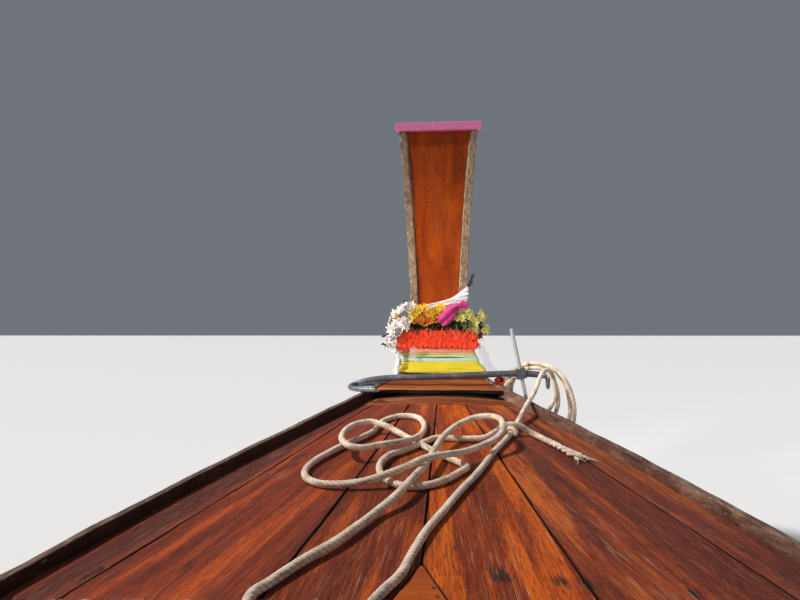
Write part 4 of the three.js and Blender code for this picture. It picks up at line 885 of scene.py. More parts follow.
class BOAT_OT_gunwales(bpy.types.Operator):
    """Builds the gunwales, with worn grey tops over red-brown sides"""
    bl_idname = "boat.gunwales"
    bl_label = "Gunwales"

    def execute(self, context):
        wear = context.scene.boat_deck.rail_wear
        # lit and shaded copies of one wood for the sides: brown and worn, lighter with painted light, to
        # starboard; dark with painted shade to port
        tones = {1: (0x3A241E, 0x6E4C40, 0xA68E7C), -1: (0x1C0D0A, 0x381A14, 0x5E4034)}
        y = np.concatenate([np.linspace(-5.0, 2.4, 90), np.linspace(2.42, 4.82, 170)])
        for side, word in BOTH_SIDES:
            outer = beam_at(y)
            inner = np.maximum(outer - rail_width(y), 0.026)
            lip = np.maximum(outer - 0.011, inner + 0.005)
            top = rail_top(y)
            part = np.linspace(0, 1, 7)
            across = inner[:, None] + np.outer(outer - inner, part)
            corners = [np.stack([across[:, k], y, top], axis=1) for k in range(7)]
            corners += [np.stack([outer, y, top - RAIL_LIP * f], axis=1) for f in (0.33, 0.66, 1)]
            corners += [np.stack([lip, y, top - RAIL_LIP], axis=1), np.stack([lip, y, top - RAIL_DEPTH], axis=1)]
            corners += [np.stack([inner, y, top - RAIL_DEPTH * f], axis=1) for f in (1, 0.6, 0.3)]
            rows = np.stack(corners, axis=1)
            # only the faces that stand free are worn, not those against the planks
            free = np.ones(rows.shape[1])
            free[9:13] = 0
            rows[..., 2] += wear * 0.5 * free * ripples(rows, 0.17, 41 + side)
            rows[..., 0] += wear * 0.5 * free * ripples(rows, 0.13, 43 + side)
            rows[..., 2] -= wear * np.maximum(0, ripples(rows, 0.06, 47 + side) - 0.9) * free
            rows[..., 0] *= side
            finish = self.rail_finish(word, tones[side])
            piece = make(f"gunwale_{word}_worn", loft(rows), finish, bevel=0.005, smooth=40)
            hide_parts(f"gunwale_{word}")
        return {"FINISHED"}

    @staticmethod
    def rail_finish(word, side_tones_painted_lit_or_shaded):
        """Grey weathered wood where a face looks up, red-brown varnish on the sides, worn through in places."""
        f = Finish(f"Weathered gunwale, {word}", "y")
        grain = f.noise(2.0, 120.0, detail=6, rough=0.7, warp=0.3)
        blotch = f.noise(4.0, 16.0, detail=5, rough=0.65, warp=1.0, move=2.0)
        grey = f.ramp(f.plus(f.times(grain, 0.6), f.times(blotch, 0.4)),
                      (0.36, 0x33211C), (0.5, 0x64463C), (0.66, 0x94806F))
        # the side tones carry painted light to starboard and painted shade to port
        red = f.ramp(f.plus(f.times(grain, 0.4), f.times(blotch, 0.6)),
                     *zip((0.34, 0.5, 0.7), side_tones_painted_lit_or_shaded))
        up = f.span(f.plus(f.axis(2, "Normal"), f.times(blotch, 0.5)), 0.7, 1.05)
        colour = f.mix(up, red, grey)
        marks = f.span(f.noise(26.0, 60.0, detail=4, rough=0.7, warp=2.0, move=5.0), 0.64, 0.69)
        colour = f.mix(f.times(marks, 0.8), colour, 0xC0B4A8)
        nicks = f.span(f.noise(9.0, 240.0, detail=2, move=7.0), 0.62, 0.69)
        colour = f.mix(nicks, colour, 0x1F1411)
        normal = f.bump(grain, 0.001, 0.8, f.bump(nicks, -0.001, 0.7))
        return f.done(colour, f.span(up, 0.0, 1.0, 0.5, 0.85), normal)


PROW_FOOT_AFT = float(rail_top(prow_aft(0.88))) + 0.002
PROW_FOOT_FORE = float(rail_top(prow_lead(0.98) - FORE_BACK)) + 0.002


def prow_line(level, grow, place):
    """Points round the prow: level goes from its foot, 0, to its head, 1, place from 0 to 1 round it, and grow
    is the distance out. Between six corners, each set by the level, a point is their mean weighted by place."""
    level, grow, place = np.broadcast_arrays(level, grow, np.asarray(place) % 1.0)
    aft_z = PROW_FOOT_AFT + (PROW_TOP - PROW_FOOT_AFT) * level
    fore_z = PROW_FOOT_FORE + (PROW_TOP - PROW_FOOT_FORE) * level
    lead = prow_lead(fore_z)
    half = prow_half(aft_z)
    aft = np.stack([half + grow, prow_aft(aft_z) - grow, aft_z], axis=-1)
    fore = np.stack([FORE_HALF + grow, lead - FORE_BACK, fore_z], axis=-1)
    tip = np.stack([TIP_HALF + grow, lead + grow, fore_z], axis=-1)
    port = np.array([-1, 1, 1])
    corners = np.stack([aft * port, aft, fore, tip, tip * port, fore * port])
    stops = np.array([0, 0.26, 0.58, 0.61, 0.65, 0.68, 1.0])
    k = np.clip(np.searchsorted(stops, place, side="right") - 1, 0, 5)
    t = ((place - stops[k]) / (stops[k + 1] - stops[k]))[..., None]
    rows = np.indices(place.shape)
    return corners[(k, *rows)] * (1 - t) + corners[((k + 1) % 6, *rows)] * t


def prow_level(z):
    return (z - PROW_FOOT_AFT) / (PROW_TOP - PROW_FOOT_AFT)


def rounded_ring(rows, reach=4):
    """Closed lines with their corners rounded: each point becomes the mean of its neighbours along the line."""
    return sum(np.roll(rows, k, axis=1) for k in range(-reach, reach + 1)) / (2 * reach + 1)


class BOAT_OT_prow(bpy.types.Operator):
    """Finishes the tall prow: weathered cheeks, a varnished panel between them and a painted cap"""
    bl_idname = "boat.prow"
    bl_label = "Prow"

    def execute(self, context):
        cheek = weathered("Weathered cheeks", "z", base=0x98785A, pale=0xDCCDB6, dark=0x5A402C, red=0x7A4A2C,
                          left=0.3)
        for _, word in BOTH_SIDES:
            softened(f"prow_cheek_{word}", cheek, bevel=0.0045, cut=0.05, worn=0.0012)
        panel = varnished("Varnished prow panel", 0x7A2A0A, 0xA4420E, 0xC85A14, run="z", gloss=0.4, orange=0.4,
                          scratched=0.1, plain=0.7, shine=0.06)
        softened("prow_panel", panel, bevel=0.002)
        cap = painted("Pink cap paint", 0xFF86B8, under=0xF8ECEE, fade=0xF49AC4, run="x", chips=0.3, rough=0.6)
        softened("prow_cap", cap, bevel=0.0035, cut=0.06, worn=0.0008)
        stem = varnished("Dark oiled stem", 0x35190F, 0x55291A, 0x74391F, run="z", gloss=0.45)
        softened("stem", stem, bevel=0.004)
        return {"FINISHED"}


class BOAT_OT_anchor(bpy.types.Operator):
    """Finishes the anchor that lies across the bow, with its sliding stock"""
    bl_idname = "boat.anchor"
    bl_label = "Anchor"

    def execute(self, context):
        iron = metal("Dark anchor iron", 0x5E636C, rust=0.2, rough=0.42, metallic=0.5, worn=0x9AA4B0)
        softened("anchor", iron, bevel=0.0015, smooth=40)
        zinc = metal("Galvanised stock", 0xC0C4C8, rust=0.05, rough=0.4, metallic=0.3, worn=0xE0E4E6,
                     grime=0x7A7D80)
        softened("anchor_stock", zinc, bevel=0.0015, smooth=40)
        return {"FINISHED"}


def cloth_band(place, low, high, out, folds, seed, rows=26, flare=0.0):
    """A closed band of cloth round the prow: the height between low and high, each by place, and a distance out
    that long slanting folds move. Both edges are tucked in, and flare moves the lower one out."""
    v = np.linspace(0, 1, rows)[:, None]
    z = low + (high - low) * v
    # the noise has to meet itself where the band closes, so it is read on a circle
    turn = 2 * np.pi * place
    flat = np.stack(np.broadcast_arrays(0.22 * np.cos(turn), 0.22 * np.sin(turn), v * (high - low) * 9), axis=-1)
    wave = ripples(flat, 0.13, seed) + 0.5 * ripples(flat, 0.05, seed + 1)
    edge = np.clip(np.minimum(v, 1 - v) / 0.14, 0, 1) ** 0.5
    hang = flare * (1 - v) ** 1.6 * np.interp(place, [0, 0.26, 0.6, 1], [0.5, 1, 0.3, 0.5])
    grow = np.maximum(out * (0.45 + 0.55 * edge) + folds * edge * wave + hang, 0.003)
    return rounded_ring(prow_line(prow_level(z), grow, place))


def wound(name, ring, cloth, thick):
    """A cloth band wound round both cheeks of the prow, with a wall of the given thickness."""
    rows, count = ring.shape[:2]
    shape = grid(ring, wrap_v=True, uv=even_map(rows, count + 1, 0.12, 1.35)[..., ::-1])
    piece = make(name, shape, cloth, smooth=180, thick=thick, closed=False)
    return piece


def strip(name, controls, cloth, size, ruffle, seed, thick):
    """A sheet of cloth through a net of control points, ruffled by smooth noise. size is its count of points
    both ways, and its length is read along the row middle."""
    points = net(controls, *size)
    points = points + ruffle * np.stack([ripples(points, 0.035, seed + k) for k in range(3)], axis=-1)
    across = np.linalg.norm(points[-1] - points[0], axis=-1).mean()
    shape = grid(points, uv=even_map(*size, across, length_of(points[size[0] // 2])))
    piece = make(name, shape, cloth, smooth=180, thick=thick, closed=False)


def petal(length, width, cup, curl, along=4, across=3, point=0.6):
    """A petal that grows along x and lies flat: its width rises and falls with the sine of the way along, its
    sides cup up with the square of the way across, and its tip curls with the square of the way along."""
    u = np.linspace(0, 1, along)[:, None]
    v = np.linspace(-1, 1, across)[None, :]
    broad = width * np.sin(np.pi * (0.12 + 0.8 * u ** point)) ** 0.8
    x = length * u + 0 * v
    return np.stack([x, broad * v, cup * v**2 * u + curl * u**2], axis=-1)


def small(points):
    """A grid of a repeated shape, with the way along it and across it as its map."""
    return grid(points, uv=even_map(*points.shape[:2], 1, 1))


def turned(forward, up):
    """Turn matrices whose first column is forward and whose third is nearest to up."""
    forward = unit(forward)
    side = unit(np.cross(up, forward))
    return np.stack([forward, side, np.cross(forward, side)], axis=-1)


def flower_heads(centres, facings, radius, petals, layers, cup, width, rng):
    """Heads of petals: each layer is a ring of petals that open less than the one before."""
    blade = small(petal(1.0, width, 0.12, cup))
    places, turns, sizes, tints = [], [], [], []
    for layer in range(layers):
        lift = 0.15 + 0.9 * layer / layers
        angle = np.arange(petals) * 2 * np.pi / petals + layer * 0.4
        for centre, facing, r in zip(centres, facings, radius):
            facing = unit(facing)
            side = unit(np.cross(facing, [0.3, 0.2, 1.0]))
            up = np.cross(facing, side)
            spread = angle + rng.uniform(-0.15, 0.15, petals)
            out = np.cos(spread)[:, None] * side + np.sin(spread)[:, None] * up
            forward = out * math.cos(lift) + facing * math.sin(lift)
            places.append(np.broadcast_to(centre, (petals, 3)) + 0.06 * r * out)
            turns.append(turned(forward, np.broadcast_to(facing, (petals, 3)) + 1e-3 * out))
            sizes.append(r * (1 - 0.22 * layer) * rng.uniform(0.88, 1.1, petals))
            tints.append(rng.uniform(0, 1, petals))
    shape = scatter(blade, np.concatenate(places), np.concatenate(turns), np.concatenate(sizes))
    return shape, np.repeat(np.concatenate(tints), len(blade[0]))


class BOAT_OT_sashes(bpy.types.Operator):
    """Winds four cloth sashes round the foot of the prow: yellow, mint, green and salmon, each over the last"""
    bl_idname = "boat.sashes"
    bl_label = "Sashes"

    def execute(self, context):
        sizes = context.scene.boat_dressing
        place = np.linspace(0, 1, 300, endpoint=False)
        turn = 2 * np.pi * place
        # name, lower and upper edge, distance out, depth of the folds, seed, colour, second colour and soil
        bands = [
            ("yellow", 0.917, 0.974, 0.0165, 0.0035, 61, whole(sizes.yellow), None, 0xF6D820),
            ("mint", 0.969, 0.988, 0.0185, 0.0022, 67, 0xC4F0D4, 0xF6FBF2, 0xE8F6E8),
            ("green", 0.985, 1.006, 0.0165, 0.0024, 71, 0xE6F6C0, 0x70D838, 0xF4F8D8),
            ("salmon", 1.003, 1.036, 0.0165, 0.0030, 73, 0xFF9A7C, 0xFFB79E, 0xFF7A5A)]
        for name, low, high, out, folds, seed, colour, second, soil in bands:
            sway = 0.0035 * np.sin(turn + seed) + 0.002 * np.sin(3 * turn + 2 * seed)
            ring = cloth_band(place, low + sway, high + sway, out, folds, seed,
                              flare=0.02 if name == "yellow" else 0.0)
            cloth = woven(f"Cloth, {name}", colour, soil, threads=1500.0, fade=0.3, crease=0.5, second=second)
            wound("sash_" + name, ring, cloth, thick=0.0014)
        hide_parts("prow_sashes")
        return {"FINISHED"}


class BOAT_OT_garland(bpy.types.Operator):
    """Strings the frilled orange garland round the prow above the sashes"""
    bl_idname = "boat.garland"
    bl_label = "Garland"

    def execute(self, context):
        sizes = context.scene.boat_dressing
        rng = np.random.default_rng(11)
        count, bunches, reach = sizes.frills, 62, 0.037
        place = rng.uniform(0, 1, count)
        bunch = np.sin(2 * np.pi * bunches * place)
        droop = 0.045 * np.exp(-(((place + 0.012) % 1.0 - 0.012) / 0.016) ** 2)
        height = rng.uniform(-0.016, 0.020, count)
        level = prow_level(1.067 + height + 0.003 * np.sin(6 * np.pi * place) - droop * rng.uniform(0, 1, count))
        core = prow_line(level, reach, place)
        along = unit(prow_line(level, reach, place + 0.004) - core)
        out = unit(np.cross(along, [0, 0, 1.0]))
        up = np.cross(out, along)
        # most strands stand up and lean out, and the others hang, so that they are seen from the side
        rises = rng.uniform(-0.016, 0.020, count) * 0.6 < height
        angle = np.where(rises, rng.normal(1.25, 0.3, count), rng.normal(-1.0, 0.4, count))
        forward = (np.cos(angle)[:, None] * out + np.sin(angle)[:, None] * up
                   + (rng.normal(0, 0.14, count) + 0.1 * bunch)[:, None] * along)
        length = sizes.frill_length * rng.uniform(0.75, 1.15, count)
        length = length * (1 + 0.14 * bunch) * np.where(rises, 1.12, 0.7)
        flip = -np.sin(angle)[:, None] * out + np.cos(angle)[:, None] * up + rng.normal(0, 0.3, (count, 3))
        u = np.linspace(0, 1, 5)[:, None]
        v = np.linspace(-1, 1, 3)[None, :]
        frill = np.stack([u + 0 * v, 0.1 * v * (1.25 - 0.75 * u**2),
                          -0.22 * u**2 + 0.05 * np.cos(9 * u) + 0 * v], axis=-1)
        roots = core + 0.2 * length[:, None] * unit(forward)
        shape = scatter(small(frill), roots, turned(forward, flip), length)
        # painted light and shade: upright strands take paler tints and hanging ones deeper reds, as if lit from
        # above
        tint = np.repeat(np.clip(np.where(rises, 0.7, 0.4) + rng.normal(0, 0.2, count), 0, 1), frill.size // 3)
        # painted light: the ribbon glows a little by its own emission
        finish = petalled("Garland ribbon", 0xFF4C1C, whole(sizes.garland), 0xFF3418, pale=0xFFB080, painted_glow=0.08)
        frills = make("garland_frills", shape, finish, smooth=180, closed=False,
                      values={"tint": tint})
        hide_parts("prow_garland")
        self.string()
        return {"FINISHED"}

    @staticmethod
    def string():
        """The thick string in the garland's middle, which the frills hide."""
        ring = np.linspace(0, 1, 120, endpoint=False)
        line = rounded_ring(prow_line(prow_level(1.066), 0.027, ring)[None])[0]
        # painted light: the heart glows a little by its own emission
        finish = petalled("Garland heart", 0xF04014, 0xFF5C28, 0xE03010, painted_glow=0.08)
        _, side, top = frames(np.concatenate([line, line[:1]]))
        angle = np.linspace(0, 2 * np.pi, 12, endpoint=False)
        body = line[:, None] + 0.019 * (np.cos(angle)[None, :, None] * side[:-1, None]
                                        + 1.5 * np.sin(angle)[None, :, None] * top[:-1, None])
        make("garland_string", grid(body, wrap_u=True, wrap_v=True), finish)


class BOAT_OT_scarves(bpy.types.Operator):
    """Ties the white scarf with its pink lining, the magenta cloth and the thin cloths that hang at the sides"""
    bl_idname = "boat.scarves"
    bl_label = "Scarves"

    def execute(self, context):
        self.scarf()
        self.magenta()
        self.sides()
        return {"FINISHED"}

    @staticmethod
    def scarf():
        """The white scarf rises across the aft face from port to starboard and widens at the starboard edge."""
        place = np.linspace(0, 1, 320, endpoint=False)
        # place round the prow, height of the lower edge and of the upper edge
        edges = np.array([
            (0, 1.192, 1.222), (0.05, 1.208, 1.240), (0.13, 1.230, 1.260), (0.2, 1.249, 1.281),
            (0.245, 1.258, 1.326), (0.27, 1.262, 1.345), (0.4, 1.266, 1.330), (0.6, 1.27, 1.31),
            (0.66, 1.262, 1.30), (0.85, 1.216, 1.256), (1.0, 1.192, 1.222)])
        low, high = read(edges[:, :2], place), read(edges[:, ::2], place)
        slant = prow_line(prow_level(low), 0, place)[:, 2] - low
        smooth = lambda line: rounded_ring(line[None, :, None] * np.ones(3), 8)[0, :, 0]
        low, high = smooth(low - slant), smooth(high - slant)
        ring = cloth_band(place, low, high, 0.013, 0.0048, 83, rows=30)
        white = woven("White scarf", 0xEFE9EA, 0xE5C9D2, threads=1400.0, fade=0.2, crease=1.0)
        scarf = wound("scarf_white", ring, white, thick=0.0012)
        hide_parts("prow_scarf")
        rise = 0.006 * np.clip((place - 0.18) / 0.08, 0, 1) * (place < 0.6)
        ring = cloth_band(place, low + 0.002, high + rise, 0.0075, 0.0015, 89, rows=16)
        pink = woven("Pink lining", 0xF0A8C4, 0xE07FA8, threads=1400.0, fade=0.2, crease=0.8)
        wound("scarf_lining", ring, pink, thick=0.001)

    @staticmethod
    def magenta():
        """The magenta cloth: two tails that fall from a knot over the flowers, a small bow and the knot."""
        cloth = woven("Magenta cloth", 0xD01884, 0xF070B4, threads=1300.0, fade=0.3, crease=2.0)
        y = 4.335
        tails = {
            "magenta_leaf": [
                [(0.108, 0.004, 1.248), (0.072, 0, 1.244), (0.037, -0.004, 1.230), (0.012, 0, 1.203),
                 (-0.004, 0, 1.166)],
                [(0.110, -0.004, 1.238), (0.080, -0.024, 1.224), (0.050, -0.028, 1.205), (0.027, -0.02, 1.183),
                 (0.006, -0.01, 1.155)],
                [(0.112, 0.004, 1.229), (0.092, -0.004, 1.206), (0.066, -0.004, 1.184), (0.044, 0, 1.166),
                 (0.014, 0, 1.149)]],
            "magenta_fold": [
                [(0.078, 0.006, 1.204), (0.050, 0, 1.180), (0.030, 0, 1.162), (0.012, 0, 1.150)],
                [(0.086, -0.012, 1.200), (0.062, -0.016, 1.172), (0.042, -0.014, 1.150), (0.021, -0.008, 1.136)],
                [(0.096, 0.006, 1.204), (0.078, 0, 1.176), (0.060, 0, 1.154), (0.040, 0.002, 1.142)]],
            "magenta_bow": [
                [(0.104, 0, 1.250), (0.118, -0.008, 1.259), (0.139, -0.004, 1.252)],
                [(0.104, -0.006, 1.239), (0.122, -0.016, 1.240), (0.144, -0.008, 1.234)],
                [(0.104, 0, 1.229), (0.120, -0.006, 1.222), (0.138, -0.002, 1.217)]]}
        for k, (name, controls) in enumerate(tails.items()):
            strip(name, np.array(controls) + (0, y, 0), cloth, size=(20, 44), ruffle=0.0016,
                  seed=90 + k, thick=0.0014)
        u = np.linspace(0, np.pi, 16)
        v = np.linspace(0, 2 * np.pi, 28, endpoint=False)
        ball = np.stack([np.outer(np.cos(u), np.ones(len(v))), np.outer(np.sin(u), np.cos(v)),
                         np.outer(np.sin(u), np.sin(v))], axis=-1)
        swell = 1 + 0.16 * np.cos(5 * v + 2 * np.cos(u)[:, None]) * np.sin(u)[:, None]
        ball = ball * swell[..., None] * (0.011, 0.011, 0.012) + (0.106, y - 0.006, 1.238)
        make("magenta_knot", loft(ball), cloth, smooth=60)

    @staticmethod
    def sides():
        """Thin cloths at the sides: purple gauze to starboard, ragged white lace to port and a dark tail."""
        gauze = woven("Purple gauze", 0xD6D0F2, 0xE2DEF8, threads=900.0, fade=0.3, crease=0.6, solid=0.14)
        lace = woven("White lace", 0xF4F4F8, 0xD8DAE4, threads=420.0, fade=0.3, crease=0.6)
        thin = woven("Thin tag cloth", 0xF2EEEE, 0xE8B0A0, threads=420.0, fade=0.3, crease=0.6, solid=0.35)
        navy = woven("Navy cloth", 0x22263C, 0x3A3F5C, threads=1300.0, fade=0.1, crease=0.8)
        hanging = [
            ("gauze_starboard", gauze, 0.004, [
                [(0.190, 4.365, 1.040), (0.200, 4.360, 1.0), (0.214, 4.356, 0.955), (0.226, 4.354, 0.920)],
                [(0.208, 4.372, 1.040), (0.220, 4.370, 1.0), (0.238, 4.368, 0.955), (0.254, 4.366, 0.920)],
                [(0.220, 4.390, 1.036), (0.238, 4.392, 0.998), (0.260, 4.392, 0.955), (0.284, 4.390, 0.922)]]),
            ("lace_port", lace, 0.004, [
                [(-0.181, 4.352, 1.02), (-0.179, 4.344, 0.988), (-0.178, 4.338, 0.950), (-0.192, 4.334, 0.910)],
                [(-0.192, 4.344, 1.02), (-0.190, 4.336, 0.990), (-0.190, 4.330, 0.950), (-0.203, 4.326, 0.906)],
                [(-0.202, 4.352, 1.02), (-0.201, 4.346, 0.992), (-0.202, 4.340, 0.952), (-0.214, 4.336, 0.908)]]),
            ("lace_tag", thin, 0.002, [
                [(-0.134, 4.330, 1.034), (-0.133, 4.340, 1.018), (-0.135, 4.352, 1.004), (-0.134, 4.358, 0.992)],
                [(-0.118, 4.328, 1.034), (-0.118, 4.338, 1.014), (-0.119, 4.350, 0.998), (-0.116, 4.356, 0.980)],
                [(-0.103, 4.330, 1.034), (-0.103, 4.340, 1.012), (-0.104, 4.352, 0.990), (-0.104, 4.356, 0.968)]]),
            ("navy_tail", navy, 0.002, [
                [(0.152, 4.520, 1.350), (0.160, 4.522, 1.370), (0.168, 4.520, 1.392), (0.176, 4.522, 1.410)],
                [(0.166, 4.560, 1.346), (0.174, 4.562, 1.368), (0.180, 4.560, 1.390), (0.186, 4.560, 1.408)],
                [(0.150, 4.600, 1.346), (0.158, 4.602, 1.366), (0.166, 4.600, 1.388), (0.172, 4.602, 1.404)]])]
        for name, cloth, ruffle, controls in hanging:
            strip(name, controls, cloth, size=(24, 36), ruffle=ruffle, seed=len(name), thick=0.0009)


# Flower heads by kind: x and z on the aft side, then x, y and z of those at the sides and behind
HEADS = {
    "yellow": ([
        (-0.105, 1.216), (-0.101, 1.198), (-0.087, 1.216), (-0.064, 1.221), (-0.078, 1.184),
        (-0.055, 1.207), (-0.036, 1.198), (-0.018, 1.211), (-0.096, 1.175), (0.019, 1.225), (-0.027, 1.179),
        (-0.118, 1.19)],
        [(-0.205, 4.44, 1.19), (0.212, 4.42, 1.188), (0.21, 4.505, 1.204)]),
    "lemon": ([
        (0.131, 1.215), (0.112, 1.176), (0.14, 1.183), (0.16, 1.174), (0.199, 1.188), (0.192, 1.174),
        (0.176, 1.151), (0.169, 1.133), (0.178, 1.121), (0.228, 1.128), (0.23, 1.11), (0.087, 1.174),
        (0.151, 1.197), (-0.128, 1.168), (-0.122, 1.206), (0.215, 1.118)],
        [(0.216, 4.44, 1.17)]),
    "orange": ([
        (-0.078, 1.161), (-0.055, 1.179), (-0.041, 1.161), (-0.018, 1.184), (-0.009, 1.165), (0.01, 1.211),
        (0.0, 1.193), (-0.064, 1.152), (-0.104, 1.158), (-0.09, 1.19)],
        [(-0.204, 4.52, 1.204), (0.216, 4.46, 1.192)]),
    "white": ([
        (-0.166, 1.226), (-0.152, 1.235), (-0.129, 1.237), (-0.142, 1.221), (-0.161, 1.165),
        (-0.147, 1.152), (-0.17, 1.142), (-0.212, 1.138), (-0.198, 1.119), (-0.217, 1.106), (-0.226, 1.078),
        (-0.207, 1.083), (-0.244, 1.05), (-0.23, 1.041), (-0.205, 1.032), (-0.145, 1.133), (-0.189, 1.101),
        (-0.2, 1.15), (-0.222, 1.125), (-0.176, 1.158), (-0.182, 1.214), (-0.192, 1.13), (-0.208, 1.096)],
        [(-0.228, 4.4, 1.17), (-0.21, 4.385, 1.2), (-0.206, 4.48, 1.196)]),
    "red": ([],
        [(0.284, 4.325, 0.883)])}


class BOAT_OT_flowers(bpy.types.Operator):
    """Arranges the cloth flowers, their leaves and stems round the prow above the garland"""
    bl_idname = "boat.flowers"
    bl_label = "Flowers"

    def execute(self, context):
        rng = np.random.default_rng(23)
        # inner, outer and deep colour, petals, layers, cup and width of a petal, radius of a head
        kinds = {"yellow": (0xFFB414, 0xFFEA30, 0xF0A018, 12, 4, 0.30, 0.20, 0.023),
                 "lemon": (0xFFF060, 0xFFFFC0, 0xF0E870, 7, 3, 0.26, 0.30, 0.019),
                 "orange": (0xF07010, 0xFFAC20, 0xE0600C, 10, 4, 0.34, 0.25, 0.021),
                 "white": (0xFBE6E4, 0xFFFFFF, 0xF6E4E2, 7, 4, 0.22, 0.24, 0.024),
                 "red": (0xE0200C, 0xFF4020, 0xC01410, 8, 4, 0.3, 0.4, 0.026)}
        middle = np.array([0, 4.55, 1.12])
        near_y = 4.345
        first = None
        for kind, (inner, outer, deep, petals, layers, cup, width, radius) in kinds.items():
            near, behind = HEADS[kind]
            centres = np.array([(x, near_y + 0.12 * max(0, abs(x) - 0.17), z) for x, z in near] + behind)
            centres[:len(near), 1] += rng.uniform(-0.012, 0.004, len(near))
            facings = unit(centres - middle) * (1, 9 if kind == "red" else 1.2, 1)
            facings = facings + rng.normal(0, 0.22, centres.shape)
            radii = radius * rng.uniform(0.85, 1.15, len(centres))
            shape, tint = flower_heads(centres, facings, radii, petals, layers, cup, width, rng)
            piece = make("blossoms_" + kind, shape, petalled(kind.capitalize() + " petals", inner, outer, deep),
                         smooth=180, closed=False, values={"tint": tint})
            first = first or piece
        leaf = petalled("Leaf green", 0x0E2A0E, 0x244E1A, 0x0A1C0A, sheen=0.05, pale=0x6A8A40)
        blade = small(petal(0.040, 0.009, 0.005, -0.010, along=7, across=5, point=0.8))
        # a row of foliage between the garland and the flowers, and sprays round the white heads
        room, leaves = ((-0.16, 0.2), (4.375, 4.41), (1.11, 1.175)), 260
        row = np.stack([rng.uniform(low, high, leaves) for low, high in room], axis=1)
        spray = np.array([(x, 4.362, z) for x, z in HEADS["white"][0]]).repeat(3, axis=0)
        spray += rng.normal(0, 0.012, spray.shape)
        roots = np.concatenate([row, spray])
        ways = (roots - (0, 4.5, 1.1)) * (2, 2, 3) + rng.normal(0, 0.6, roots.shape)
        shape = scatter(blade, roots, turned(ways, rng.normal(0, 0.5, ways.shape) + (0, -1, 0.3)),
                        rng.uniform(0.7, 1.1, len(roots)) * np.where(np.arange(len(roots)) < len(row), 1.0, 0.6))
        tint = np.repeat(rng.uniform(0.1, 1, len(roots)), len(blade[0]))
        make("blossom_leaves", shape, leaf, smooth=180, closed=False, values={"tint": tint})
        self.stems(rng)
        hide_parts("prow_flowers")
        return {"FINISHED"}

    @staticmethod
    def stems(rng):
        """Thin pale stems: each bends from the bunch out to a flower head."""
        bunch = [np.array((-0.12, 4.39, 1.165)), np.array((0.13, 4.39, 1.15))]
        parts = []
        for kind in ("yellow", "lemon", "orange", "white"):
            for x, z in HEADS[kind][0]:
                head = np.array((x, 4.355, z - 0.004))
                root = bunch[int(x > 0.04)] + rng.normal(0, 0.012, 3)
                knee = (head + root) / 2 + (0, -0.004, -0.012)
                parts.append(tube(curve([root, knee, head], 0.008), 0.0012, 6))
        sprigs = [((0.14, 4.35, 1.10), (0.128, 4.335, 1.125), (0.108, 4.336, 1.152)),
                  ((0.16, 4.35, 1.10), (0.150, 4.335, 1.13), (0.146, 4.336, 1.16)),
                  ((0.10, 4.35, 1.10), (0.092, 4.335, 1.12), (0.088, 4.336, 1.14))]
        parts += [tube(curve(sprig, 0.006), 0.0012, 6) for sprig in sprigs]
        stem = petalled("Pale stems", 0x9FB07A, 0xC4CFA2, 0x7A8A5A, sheen=0.1)
        shape = join(parts)
        make("blossom_stems", shape, stem, smooth=180, values={"tint": np.full(len(shape[0]), 0.6)})


# Ropes on the foredeck, from their aft ends: x, y and how far above lying flat, in millimetres
BOW_LINE = [
    (-302, 2608, 0), (-253, 2705, 3), (-212, 2774, 4), (-134, 2953, 6), (-92, 3025, 20), (-60, 3125, 24),
    (-29, 3229, 26), (-6, 3350, 28), (12, 3440, 30), (35, 3522, 32), (83, 3608, 40), (138, 3645, 52),
    (187, 3633, 62), (218, 3597, 66), (226, 3546, 62), (218, 3488, 52), (194, 3449, 40), (94, 3348, 30),
    (30, 3262, 46), (-30, 3212, 50), (-103, 3167, 32), (-198, 3132, 12), (-299, 3139, 2), (-343, 3164, 0),
    (-376, 3208, 0), (-389, 3262, 0), (-381, 3338, 0), (-314, 3490, 2), (-234, 3628, 2), (-209, 3756, 0),
    (-186, 3799, 0), (-135, 3833, 0), (-82, 3816, 0), (-52, 3745, 2), (-46, 3650, 4), (-74, 3501, 20),
    (-123, 3437, 28), (-177, 3398, 32), (-230, 3362, 34), (-272, 3362, 40), (-302, 3408, 44), (-312, 3470, 44),
    (-305, 3555, 42), (-280, 3618, 38), (-237, 3650, 34), (-186, 3637, 24), (-136, 3609, 8), (-69, 3528, 0),
    (-14, 3448, 0), (45, 3366, 0), (82, 3320, 0), (94, 3294, 0), (73, 3252, 0), (40, 3200, 0), (-8, 3150, 0),
    (-50, 3133, 0), (-90, 3138, 0), (-125, 3166, 0), (-163, 3245, 2), (-165, 3310, 6), (-145, 3385, 4),
    (-105, 3440, 0), (-40, 3520, 2), (2, 3572, 0), (90, 3569, 0), (165, 3580, 2), (215, 3640, 10),
    (246, 3662, 24)]
ANCHOR_LINE = [
    (-82, 2590, 0), (-59, 2645, 0), (-39, 2746, 0), (-10, 2869, 0), (24, 2971, 0), (69, 3105, 0), (124, 3249, 0),
    (186, 3439, 0), (232, 3560, 0), (270, 3664, 0), (310, 3782, 12)]
